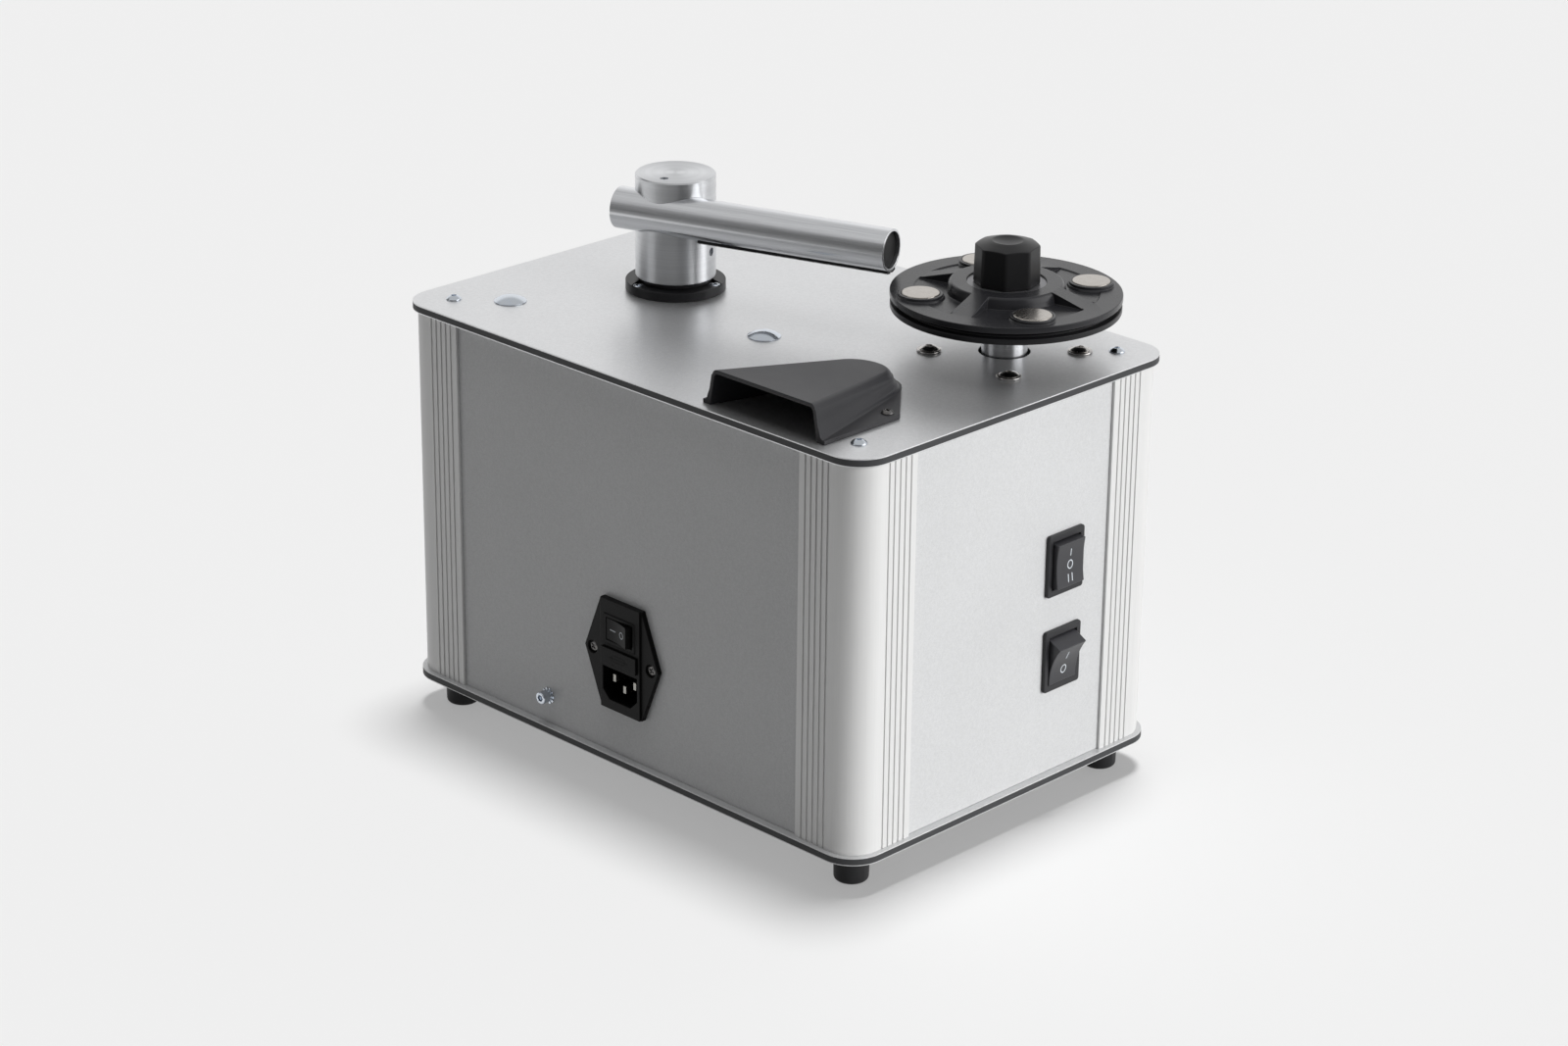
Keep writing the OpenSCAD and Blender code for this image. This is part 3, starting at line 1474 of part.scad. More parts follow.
module clamp_disc() {
  floor_height = clamp_thickness - clamp_floor_depth;
  top = clamp_thickness + hub_height;
  pocket = ring_radius + ring_play;
  pocket_floor = top - ring_sink - ring_thickness;
  magnet_floor = clamp_thickness + magnet_proud - magnet_thickness;
  rim_top = clamp_thickness + magnet_proud - magnet_step;
  color([0.22, 0.22, 0.23]) translate([platter_x, platter_y, z_clamp]) difference() {
    union() {
      rotate_extrude() polygon([
        [0, 0], [clamp_radius, 0], [clamp_radius, clamp_thickness],
        [clamp_rim_radius, clamp_thickness], [clamp_rim_radius, floor_height],
        [hub_foot_radius, floor_height], [hub_side_radius, top - hub_chamfer],
        [hub_top_radius, top], [pocket, top], [pocket, pocket_floor], [0, pocket_floor]
      ]);
      for (i = [0:3]) rotate([0, 0, spoke_angle + i * 90]) clamp_spoke();
      at_magnets()
        translate([0, 0, clamp_floor_depth])
          cylinder(r = magnet_radius + magnet_rim, h = rim_top - clamp_floor_depth);
    }
    drill(0, 0, top, spindle_radius + 2 * running_play, top);
    at_magnets()
      translate([0, 0, magnet_floor])
        cylinder(r = magnet_radius + screw_play, h = magnet_thickness + cut);
  }
}

module clamp_magnets() {
  color([0.83, 0.80, 0.74]) translate([platter_x, platter_y, magnet_top - magnet_thickness])
    at_magnets() cylinder(r = magnet_radius, h = magnet_thickness);
}

module upper_seal() {
  color([0.05, 0.05, 0.05]) translate([platter_x, platter_y, z_clamp - seal_thickness])
    ring(seal_radius, seal_radius - seal_width, seal_thickness);
}

module hub_ring() {
  color([0.85, 0.85, 0.86]) translate([platter_x, platter_y, z_ring - ring_thickness])
    ring(ring_radius, ring_bore, ring_thickness);
}

module clamp_knob() {
  height = knob_flat_height + knob_dome_height;
  bore_height = spindle_top + knob_bore_gap - z_knob;
  color([0.11, 0.11, 0.12]) translate([platter_x, platter_y, z_knob]) difference() {
    intersection() {
      rotate([0, 0, knob_angle])
        cylinder(r1 = knob_foot_radius, r2 = knob_top_radius, h = height,
          $fn = knob_sides);
      rotate_extrude() polygon([
        [0, 0], [2 * knob_foot_radius, 0], [2 * knob_foot_radius, knob_flat_height],
        [knob_top_radius, knob_flat_height], [dish_radius, height],
        [dish_radius - dish_depth, height - dish_depth], [0, height - dish_depth]
      ]);
    }
    translate([0, 0, -cut])
      cylinder(r = thread_radius + running_play, h = bore_height + cut);
  }
}

// Switches

// A rocker, turned about its pin: the pin runs along x and the face looks along z
module rocker(width, face, flank, reach, hollow, tail, shoulder, pin, angle) {
  hollow_radius = (face * face / 4 + hollow * hollow) / (2 * hollow);
  rotate([angle, 0, 0])
    rotate([90, 0, 90])
      translate([0, 0, -width / 2])
        linear_extrude(width) difference() {
          polygon([
            [-flank / 2, -tail], [flank / 2, -tail], [flank / 2, shoulder],
            [face / 2, reach], [-face / 2, reach], [-flank / 2, shoulder]
          ]);
          translate([0, reach - hollow + hollow_radius]) circle(r = hollow_radius);
          circle(r = pin + running_play);
        }
}

// Two stub pins that reach from a pocket's side walls into its rocker
module stub_pins(room, width, radius, length) {
  for (side = [0, 180])
    rotate([0, 0, side])
      rotate([0, 90, 0])
        translate([0, 0, width / 2 - length])
          cylinder(r = radius, h = length + (room - width) / 2 + cut / 2);
}

module switch_housing(height) {
  color([0.09, 0.09, 0.10]) in_switch(height) {
    difference() {
      union() {
        linear_extrude(bezel_thickness)
          rounded_rectangle(bezel_width, bezel_height, bezel_corner_radius);
        translate([
          -switch_body_width / 2, -switch_body_height / 2, -switch_body_depth
        ])
          cube([
            switch_body_width, switch_body_height, switch_body_depth + cut / 2
          ]);
      }
      translate([-rocker_room / 2, -rocker_window_height / 2, -rocker_pocket_depth])
        cube([
          rocker_room, rocker_window_height,
          rocker_pocket_depth + bezel_thickness + cut
        ]);
      translate([-rocker_room / 2, -rocker_pocket_height / 2, -rocker_pocket_depth])
        cube([rocker_room, rocker_pocket_height, rocker_pocket_depth]);
    }
    translate([0, 0, -rocker_pin_depth])
      stub_pins(rocker_room, rocker_width, rocker_pin_radius, rocker_pin_length);
  }
}

module motor_switch_housing() {
  switch_housing(motor_switch_height);
}

module motor_switch_rocker() {
  color([0.12, 0.12, 0.13]) in_switch(motor_switch_height)
    translate([0, 0, -rocker_pin_depth])
      rocker(rocker_width, motor_rocker_face, rocker_flank_height, motor_rocker_reach,
        motor_rocker_hollow, rocker_tail, rocker_shoulder, rocker_pin_radius, 0);
}

module vacuum_switch_housing() {
  switch_housing(vacuum_switch_height);
}

module vacuum_switch_rocker() {
  color([0.12, 0.12, 0.13]) in_switch(vacuum_switch_height)
    translate([0, 0, -rocker_pin_depth])
      rocker(rocker_width, vacuum_rocker_face, rocker_flank_height, vacuum_rocker_reach,
        vacuum_rocker_hollow, rocker_tail, rocker_shoulder, rocker_pin_radius,
        vacuum_rocker_angle);
}

// Mains inlet

module inlet_flange() {
  tip = inlet_flange_width / 2;
  flat = inlet_flange_flat / 2;
  top = inlet_flange_height / 2;
  polygon([[tip, 0], [flat, top], [-flat, top], [-tip, 0], [-flat, -top], [flat, -top]]);
}

module socket_outline() {
  side = socket_width / 2;
  top = socket_up + socket_height / 2;
  foot = socket_up - socket_height / 2;
  polygon([
    [-side, top], [side, top], [side, foot + socket_clip], [side - socket_clip, foot],
    [socket_clip - side, foot], [-side, foot + socket_clip]
  ]);
}

module at_pins() {
  for (x = [-1, 1] * pin_spacing / 2) translate([x, socket_up + pin_rise, 0]) children();
  translate([0, socket_up - pin_rise, 0]) children();
}

module inlet_housing() {
  rocker_side = inlet_rocker_width + 2 * rocker_side_gap;
  color([0.10, 0.10, 0.11]) in_inlet() {
    difference() {
      union() {
        linear_extrude(inlet_flange_thickness) inlet_flange();
        translate([-inlet_band_width / 2, -inlet_flange_height / 2, 0])
          cube([inlet_band_width, inlet_flange_height, inlet_face]);
        translate([
          -inlet_frame_width / 2, inlet_rocker_up - inlet_frame_height / 2, 0
        ])
          cube([inlet_frame_width, inlet_frame_height, inlet_frame_face]);
        translate([-inlet_body_width / 2, -inlet_body_height / 2, -inlet_body_depth])
          cube([inlet_body_width, inlet_body_height, inlet_body_depth + cut / 2]);
      }
      for (side = [-1, 1])
        translate([side * inlet_screw_spacing / 2, 0, 0]) {
          translate([0, 0, -cut])
            cylinder(r = inlet_screw_radius + screw_play, h = inlet_face + 2 * cut);
          translate([0, 0, inlet_flange_thickness - inlet_counterbore_depth])
            cylinder(r = inlet_counterbore, h = inlet_counterbore_depth + cut);
        }
      translate([
        -inlet_rocker_room / 2, inlet_rocker_up - rocker_side / 2,
        inlet_frame_face - inlet_rocker_pocket
      ])
        cube([inlet_rocker_room, rocker_side, inlet_rocker_pocket + cut]);
      translate([
        -tray_width / 2 - tray_play, drawer_up - tray_height / 2 - tray_play,
        inlet_face - tray_depth - cut
      ])
        cube([
          tray_width + 2 * tray_play, tray_height + 2 * tray_play,
          tray_depth + 2 * cut
        ]);
      translate([0, 0, inlet_face - socket_depth])
        linear_extrude(socket_depth + cut) socket_outline();
      at_pins()
        translate([0, 0, -inlet_body_depth / 2])
          cube([
            pin_thickness + 2 * screw_play, pin_width + 2 * screw_play,
            inlet_body_depth + 2 * cut
          ], center = true);
    }
    translate([0, inlet_rocker_up, inlet_frame_face - inlet_rocker_pin_depth])
      rotate([0, 0, 90])
        stub_pins(rocker_side, inlet_rocker_width, rocker_pin_radius,
          rocker_pin_length);
  }
}

module inlet_pins() {
  tip = inlet_face - socket_depth + pin_length;
  tail = inlet_body_depth + pin_length / 2;
  color([0.80, 0.80, 0.78]) in_inlet() at_pins()
    translate([-pin_thickness / 2, -pin_width / 2, -tail])
      cube([pin_thickness, pin_width, tail + tip]);
}

module inlet_rocker() {
  flank = (inlet_rocker_room + 2 * inlet_rocker_length) / 3;
  color([0.14, 0.14, 0.15]) in_inlet()
    translate([0, inlet_rocker_up, inlet_frame_face - inlet_rocker_pin_depth])
      rotate([0, 0, -90])
        rocker(inlet_rocker_width, inlet_rocker_length, flank, inlet_rocker_reach,
          inlet_rocker_hollow, inlet_rocker_tail, 0, rocker_pin_radius,
          inlet_rocker_angle);
}

module fuse_drawer() {
  room = fuse_length + 2 * tray_play;
  fuse_room = 2 * (fuse_radius + tray_play);
  wall = (tray_width - room) / 2;
  color([0.11, 0.11, 0.12]) in_inlet() translate([0, drawer_up, inlet_face]) difference() {
    union() {
      translate([-drawer_width / 2, -drawer_height / 2, 0])
        cube([drawer_width, drawer_height, drawer_front]);
      translate([-tray_width / 2, -tray_height / 2, -tray_depth])
        cube([tray_width, tray_height, tray_depth + drawer_front / 2]);
    }
    translate([-room / 2, -fuse_radius - tray_play / 2, -tray_depth + wall])
      cube([room, tray_height, fuse_room]);
    translate([0, -drawer_height / 2, drawer_front])
      rotate([0, 90, 0])
        cylinder(r = drawer_front / 2, h = drawer_width / 3, center = true);
  }
}

module fuse() {
  wall = (tray_width - fuse_length) / 2 - tray_play;
  depth = tray_depth - wall - fuse_radius - tray_play;
  color([0.80, 0.82, 0.84]) in_inlet()
    translate([-fuse_length / 2, drawer_up, inlet_face - depth])
      rotate([0, 90, 0]) cylinder(r = fuse_radius, h = fuse_length);
}

module inlet_screws() {
  color([0.20, 0.20, 0.21]) in_inlet() for (side = [-1, 1])
    translate([
      side * inlet_screw_spacing / 2, 0, inlet_flange_thickness - inlet_counterbore_depth
    ])
      cross_screw(inlet_screw_radius, inlet_screw_length, inlet_screw_head,
        inlet_screw_head_height);
}

// Earth screw, with its own frame: z points out of the rear panel
module in_earth() {
  translate([earth_x, -panel_face_y, z_floor + earth_height]) rotate([90, 0, 0]) children();
}

module earth_screw() {
  top = star_washer_thickness + earth_head_height;
  color([0.76, 0.77, 0.79]) in_earth() difference() {
    union() {
      translate([0, 0, star_washer_thickness])
        cylinder(r = earth_head_radius, h = earth_head_height);
      translate([0, 0, star_washer_thickness - earth_screw_length])
        cylinder(r = earth_screw_radius, h = earth_screw_length + cut / 2);
    }
    translate([0, 0, top]) hex_socket(earth_socket, earth_head_height * 0.5);
  }
}

module star_washer() {
  tooth = star_washer_radius / 4;
  color([0.72, 0.73, 0.75]) in_earth() difference() {
    cylinder(r = star_washer_radius, h = star_washer_thickness);
    translate([0, 0, -cut])
      cylinder(r = earth_screw_radius + screw_play, h = star_washer_thickness + 2 * cut);
    for (i = [0:star_tooth_count - 1])
      rotate([0, 0, i * 360 / star_tooth_count])
        translate([star_washer_radius, 0, star_washer_thickness / 2])
          cube([tooth, tooth, 2 * star_washer_thickness], center = true);
  }
}

// Electrics

module run_capacitor() {
  color([0.86, 0.86, 0.84])
    translate([
      capacitor[0] - capacitor_length / 2, capacitor[1] - capacitor_width / 2, z_floor
    ])
      cube([capacitor_length, capacitor_width, capacitor_height]);
}

function unit(v) = v / norm(v);

// The direction of a route at point i: its own at the ends, and the mean between runs
function heading(route, i) =
  i == 0 ? unit(route[1] - route[0])
  : i == len(route) - 1 ? unit(route[i] - route[i - 1])
  : unit(unit(route[i] - route[i - 1]) + unit(route[i + 1] - route[i]));

// The side direction at point i, carried along from the route's start
function side_at(route, i, seed) =
  let (before = i == 0 ? seed : side_at(route, i - 1, seed), along = heading(route, i))
  unit(before - along * (before * along));

// A round tube along a route's points, in one ring of flat sides to each point
module sweep(route, radius, sides = 8) {
  seed = [0.31, 0.27, 0.92];
  points = [
    for (i = [0:len(route) - 1])
      let (side = side_at(route, i, seed), up = cross(heading(route, i), side))
        for (k = [0:sides - 1])
          let (a = k * 360 / sides)
            route[i] + radius * (side * cos(a) + up * sin(a))
  ];
  last = (len(route) - 1) * sides;
  faces = concat(
    [[for (k = [0:sides - 1]) sides - 1 - k]],
    [[for (k = [0:sides - 1]) last + k]],
    [
      for (i = [0:len(route) - 2], k = [0:sides - 1])
        let (a = i * sides + k, b = i * sides + (k + 1) % sides)
          each [[a, b, a + sides], [b, b + sides, a + sides]]
    ]
  );
  polyhedron(points = points, faces = faces);
}

// Routes of the leads: each end is worked out, and the points between are chosen by hand
pin_tail = -panel_face_y + inlet_body_depth + pin_length / 2;
pin_line = z_floor + inlet_height + socket_up;
live = [inlet_x - pin_spacing / 2, pin_tail, pin_line + pin_rise];
neutral = [inlet_x + pin_spacing / 2, pin_tail, pin_line + pin_rise];
ground = [inlet_x, pin_tail, pin_line - pin_rise];
switch_back = panel_face_x - switch_body_depth;
vacuum_back = [switch_back, switch_y, z_floor + vacuum_switch_height];
motor_back = [switch_back, switch_y, z_floor + motor_switch_height];
blower_side = [
  blower[0] + blower_motor_radius, blower[1], z_casing - blower_motor_height / 2
];
drive_foot = [motor_x, motor_y, z_under - gearbox_height - gear_motor_height];
capacitor_top = [capacitor[0], capacitor[1], z_floor + capacitor_height];
earth_tip = [
  earth_x, -panel_face_y - star_washer_thickness + earth_screw_length,
  z_floor + earth_height
];
lead_routes = [
  [
    live, live + [0, 8, 0], [5, -45, 40], [40, -10, 26], [90, 20, 26], [112, 34, 50],
    vacuum_back - [8, 0, 0], vacuum_back
  ],
  [neutral, neutral + [0, 8, 0], [2, -48, 68], blower_side + [8, 0, 0], blower_side],
  [ground, ground + [0, 8, 0], [-12, -62, 40], earth_tip + [0, 8, 0], earth_tip],
  [
    motor_back + [0, -5, 0], motor_back + [-8, -5, 0], [108, 38, 132],
    drive_foot - [0, 0, 8], drive_foot
  ],
  [
    motor_back + [0, 5, -5], motor_back + [-8, 5, -5], [114, 20, 90], [96, -40, 64],
    capacitor_top + [0, 0, 8], capacitor_top
  ]
];

module wiring_leads() {
  color([0.30, 0.16, 0.10]) for (route = lead_routes) sweep(route, lead_radius);
}

top_plate();
bottom_plate();
corner_post(-1, -1);  // post_rear_left
corner_post(1, -1);  // post_rear_right
corner_post(-1, 1);  // post_front_left
corner_post(1, 1);  // post_front_right
rear_panel();
front_panel();
end_panel();
switch_panel();
rubber_feet();
corner_screws();
arm_flange();
flange_screws();
guide_bush();
swivel_gland();
arm_pipe();
arm_column();
set_screws();
suction_tube();
tube_plugs();
velvet_strips();
suction_hose();
waste_tank();
drain_plug();
air_hose();
blower_casing();
blower_motor();
blower_impeller();
blower_bracket();
carriage_bolts();
exhaust_hose();
exhaust_hood();
hood_screws();
gear_motor();
motor_screws();
drive_shaft();
lower_platter();
lower_seal();
spindle();
clamp_disc();
clamp_magnets();
upper_seal();
hub_ring();
clamp_knob();
motor_switch_housing();
motor_switch_rocker();
vacuum_switch_housing();
vacuum_switch_rocker();
inlet_housing();
inlet_pins();
inlet_rocker();
fuse_drawer();
fuse();
inlet_screws();
earth_screw();
star_washer();
run_capacitor();
wiring_leads();
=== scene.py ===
"""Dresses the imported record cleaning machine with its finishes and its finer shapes."""

import json
import logging
import math
from dataclasses import dataclass
from enum import Enum
from typing import Any, Callable, Iterator, Optional, Sequence, Union

import bmesh
import bpy
from mathutils import Matrix, Vector


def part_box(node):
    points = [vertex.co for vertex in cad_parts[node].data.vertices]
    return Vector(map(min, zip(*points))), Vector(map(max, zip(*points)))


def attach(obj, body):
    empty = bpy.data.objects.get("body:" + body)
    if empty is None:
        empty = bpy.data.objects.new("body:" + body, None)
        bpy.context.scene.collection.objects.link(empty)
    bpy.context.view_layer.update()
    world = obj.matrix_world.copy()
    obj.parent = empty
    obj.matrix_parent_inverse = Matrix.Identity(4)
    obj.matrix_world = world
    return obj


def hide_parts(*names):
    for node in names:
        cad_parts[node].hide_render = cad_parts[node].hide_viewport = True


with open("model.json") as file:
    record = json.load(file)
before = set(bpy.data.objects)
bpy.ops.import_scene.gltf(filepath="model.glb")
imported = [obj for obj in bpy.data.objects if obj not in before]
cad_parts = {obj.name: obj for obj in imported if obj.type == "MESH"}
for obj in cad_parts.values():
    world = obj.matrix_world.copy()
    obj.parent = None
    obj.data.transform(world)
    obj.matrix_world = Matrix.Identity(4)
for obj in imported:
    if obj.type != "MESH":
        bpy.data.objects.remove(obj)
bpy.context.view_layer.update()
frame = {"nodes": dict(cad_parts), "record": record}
MM = 0.001
CREASE = 52.0
WELD = 0.002 * MM
FLATNESS = math.radians(0.3)
LOG = logging.getLogger("machine")

Colour = tuple[float, float, float]
Point = tuple[float, float, float]
Flat = tuple[float, float]
Places = Sequence[tuple[Point, Point]]
Name = Union[str, int]
Inputs = dict[Name, Any]
UP: Point = (0.0, 0.0, 1.0)
DOWN: Point = (0.0, 0.0, -1.0)


# Node trees

@dataclass(frozen=True)
class Socket:
    """A node's output that takes part in sums as a number does."""

    graph: "Graph"
    output: bpy.types.NodeSocket

    def __add__(self, other: "Value") -> "Socket":
        """Adds."""
        return self.graph.math("ADD", self, other)

    def __radd__(self, other: "Value") -> "Socket":
        """Adds, with the number first."""
        return self.graph.math("ADD", other, self)

    def __sub__(self, other: "Value") -> "Socket":
        """Subtracts."""
        return self.graph.math("SUBTRACT", self, other)

    def __rsub__(self, other: "Value") -> "Socket":
        """Subtracts from a number."""
        return self.graph.math("SUBTRACT", other, self)

    def __mul__(self, other: "Value") -> "Socket":
        """Multiplies."""
        return self.graph.math("MULTIPLY", self, other)

    def __rmul__(self, other: "Value") -> "Socket":
        """Multiplies, with the number first."""
        return self.graph.math("MULTIPLY", other, self)

    def __truediv__(self, other: "Value") -> "Socket":
        """Divides."""
        return self.graph.math("DIVIDE", self, other)

    def __rtruediv__(self, other: "Value") -> "Socket":
        """Divides a number."""
        return self.graph.math("DIVIDE", other, self)


Value = Union[Socket, float, int]


class Graph:
    """A node tree that is filled from expressions."""

    def __init__(self, tree: bpy.types.NodeTree) -> None:
        """Takes a tree and empties it."""
        self.tree = tree
        tree.nodes.clear()

    def node(
        self, kind: str, settings: Optional[Inputs] = None, inputs: Optional[Inputs] = None
    ) -> bpy.types.Node:
        """Adds any node.

        Args:
            kind: The node's type.
            settings: Its settings, set before its sockets.
            inputs: What its sockets get, by name or number: a value, a link, or a node's first output.

        Returns:
            The new node.
        """
        made = self.tree.nodes.new(kind)
        for name, value in (settings or {}).items():
            setattr(made, name, value)
        for key, value in (inputs or {}).items():
            entry = made.inputs[key]
            if isinstance(value, bpy.types.Node):
                value = self.out(value)
            if isinstance(value, Socket):
                self.tree.links.new(value.output, entry)
            else:
                entry.default_value = value
        return made

    def out(self, node: bpy.types.Node, name: Name = 0) -> Socket:
        """One of a node's outputs."""
        return Socket(self, node.outputs[name])

    def math(self, operation: str, first: Value, second: Value = 0.0) -> Socket:
        """Works a number out."""
        return self.out(self.node("ShaderNodeMath", {"operation": operation}, {0: first, 1: second}))

    def vectors(self, operation: str, first: Any, second: Any, name: Name = 0) -> Socket:
        """Works a vector out, or the number that is its Value."""
        made = self.node("ShaderNodeVectorMath", {"operation": operation}, {0: first, 1: second})
        return self.out(made, name)

    def step(self, value: Socket, low: float, high: float) -> Socket:
        """Rises smoothly from 0 at low to 1 at high."""
        inputs = {"Value": value, "From Min": low, "From Max": high}
        return self.out(self.node("ShaderNodeMapRange", {"interpolation_type": "SMOOTHSTEP"}, inputs))

    def blend(self, share: Value, first: Union[Socket, Colour], second: Union[Socket, Colour]) -> Socket:
        """Mixes two colours.

        Args:
            share: How much of the second colour shows.
            first: The first colour.
            second: The second colour.

        Returns:
            The mixed colour.
        """
        pair = [c if isinstance(c, Socket) else (*c, 1.0) for c in (first, second)]
        made = self.node("ShaderNodeMix", {"data_type": "RGBA"}, {0: share, 6: pair[0], 7: pair[1]})
        return self.out(made, 2)

    def place(self) -> Socket:
        """The point on the object, in its own frame."""
        return self.out(self.node("ShaderNodeTexCoord"), "Object")

    def parts(self, vector: Socket) -> list[Socket]:
        """A vector's x, y and z."""
        split = self.node("ShaderNodeSeparateXYZ", None, {0: vector})
        return [self.out(split, number) for number in range(3)]

    def vector(self, x: Value, y: Value, z: Value) -> Socket:
        """A vector from three numbers."""
        return self.out(self.node("ShaderNodeCombineXYZ", None, {0: x, 1: y, 2: z}))

    def noise(self, where: Socket, scale: float, detail: float = 2.0, rough: float = 0.5) -> Socket:
        """Soft random patches round one half, so many a metre, with finer layers over them."""
        inputs = {"Vector": where, "Scale": scale, "Detail": detail, "Roughness": rough}
        return self.out(self.node("ShaderNodeTexNoise", None, inputs), "Fac")

    def bump(self, height: Socket, depth_mm: float) -> Socket:
        """The normal of a surface raised so many millimetres where the height is 1."""
        inputs = {"Height": height, "Distance": depth_mm * MM}
        return self.out(self.node("ShaderNodeBump", None, inputs))

    def rays(self) -> list[Socket]:
        """Whether a ray is the camera's, a gloss's, or one through glass."""
        path = self.node("ShaderNodeLightPath")
        return [self.out(path, "Is %s Ray" % kind) for kind in ("Camera", "Glossy", "Transmission")]


# Finishes

@dataclass(frozen=True)
class Finish:
    """What a surface is made of, even all over until a kind of finish adds its detail."""

    name: str
    colour: Colour
    roughness: float
    metallic: float = 0.0
    coat: float = 0.0
    specular: float = 0.5

    def material(self) -> bpy.types.Material:
        """The finish as a material, made on its first use.

        Returns:
            The material.
        """
        made = bpy.data.materials.get(self.name)
        if made is None:
            made = bpy.data.materials.new(self.name)
            made.use_nodes = True
            graph = Graph(made.node_tree)
            inputs = {
                "Base Color": (*self.colour, 1.0),
                "Roughness": self.roughness,
                "Metallic": self.metallic,
                "Coat Weight": self.coat,
                "Specular IOR Level": self.specular,
                **self.detail(graph),
            }
            shader = graph.node("ShaderNodeBsdfPrincipled", None, inputs)
            graph.node("ShaderNodeOutputMaterial", None, {"Surface": shader})
        return made

    def detail(self, graph: Graph) -> Inputs:
        """What varies over the surface.

        Args:
            graph: The material's tree.

        Returns:
            Values or links of the shader's sockets.
        """
        return {}

    def tinted(self, graph: Graph, shade: Socket, swing: float) -> Socket:
        """The colour, lighter and darker with a pattern.

        Args:
            graph: The material's tree.
            shade: The pattern, around one half.
            swing: How far the colour goes either way, as a share.

        Returns:
            The colour.
        """
        dark = tuple(part * (1 - swing) for part in self.colour)
        light = tuple(min(part * (1 + swing), 1.0) for part in self.colour)
        return graph.blend(shade, dark, light)


@dataclass(frozen=True)
class Moulded(Finish):
    """Plastic or rubber with a fine moulded grain."""

    grain: float = 2500.0
    grain_depth: float = 0.02
    swing: float = 0.12
    patches: float = 60.0
    dust: float = 3800.0
    dust_share: float = 0.1
    dust_colour: Colour = (0.5, 0.5, 0.5)

    def detail(self, graph: Graph) -> Inputs:
        """Grain in the normal, and soft patches in colour and gloss.

        Args:
            graph: The material's tree.

        Returns:
            The shader's sockets.
        """
        where = graph.place()
        grain = graph.noise(where, self.grain, 3.0, 0.6)
        patches = graph.noise(where, self.patches, 3.0)
        dust = graph.step(graph.noise(where, self.dust, 1.0), 0.72, 0.8) * self.dust_share
        plain = self.tinted(graph, patches, self.swing)
        return {
            "Base Color": graph.blend(dust, plain, self.dust_colour),
            "Roughness": self.roughness - 0.07 + patches * 0.1 + grain * 0.04,
            "Normal": graph.bump(grain, self.grain_depth),
        }


@dataclass(frozen=True)
class SatinSkin(Finish):
    """Satin silver skin with fine flake, plain or as the two skins of a sheet with a dark core."""

    flake: float = 2600.0
    flake_swing: float = 0.10
    flake_depth: float = 0.01
    coarse: float = 700.0
    clouds: float = 14.0
    middle: Optional[float] = None
    half_core: float = 1.5
    seam: float = 0.02
    core: Colour = (0.035, 0.036, 0.038)
    core_roughness: float = 0.6

    def detail(self, graph: Graph) -> Inputs:
        """Flake in colour and normal, and the core between the skins.

        Args:
            graph: The material's tree.

        Returns:
            The shader's sockets.
        """
        where = graph.place()
        flake = graph.noise(where, self.flake, 2.0, 0.7)
        coarse = graph.noise(where, self.coarse)
        clouds = graph.noise(where, self.clouds)
        shade = flake * 0.6 + coarse * 0.25 + clouds * 0.15
        skin = self.tinted(graph, graph.step(shade, 0.3, 0.7), self.flake_swing)
        gloss = self.roughness - 0.05 + flake * 0.06 + clouds * 0.04
        found = {
            "Base Color": skin,
            "Roughness": gloss,
            "Normal": graph.bump(flake, self.flake_depth),
        }
        if self.middle is not None:
            height = graph.parts(where)[2]
            away = graph.math("ABSOLUTE", height - self.middle * MM)
            near, far = self.half_core - self.seam, self.half_core + self.seam
            face = graph.step(away, near * MM, far * MM)
            found["Base Color"] = graph.blend(face, self.core, skin)
            found["Metallic"] = face * self.metallic
            found["Roughness"] = self.core_roughness + face * (gloss - self.core_roughness)
        return found


@dataclass(frozen=True)
class Drawn(Finish):
    """Metal with fine lines along one direction, from drawing or brushing."""

    along: Point = UP
    pull: float = 0.985
    lines: float = 2200.0
    line_depth: float = 0.006
    swing: float = 0.10
    broad: float = 0.16
    patches: float = 40.0

    def detail(self, graph: Graph) -> Inputs:
        """Long fine lines in colour, gloss and normal.

        Args:
            graph: The material's tree.

        Returns:
            The shader's sockets.
        """
        where = graph.place()
        axis = Vector(self.along).normalized()
        run = graph.vectors("DOT_PRODUCT", where, tuple(axis), "Value")
        back = graph.vectors("MULTIPLY", graph.vector(run, run, run), tuple(axis * self.pull))
        across = graph.vectors("SUBTRACT", where, back)
        fine = graph.noise(across, self.lines, 3.0, 0.7)
        broad = graph.noise(across, self.lines * self.broad)
        patches = graph.noise(where, self.patches)
        shade = graph.step(fine * 0.6 + broad * 0.4, 0.32, 0.68)
        return {
            "Base Color": self.tinted(graph, shade, self.swing),
            "Roughness": self.roughness - 0.06 + fine * 0.07 + patches * 0.05,
            "Normal": graph.bump(fine, self.line_depth),
        }


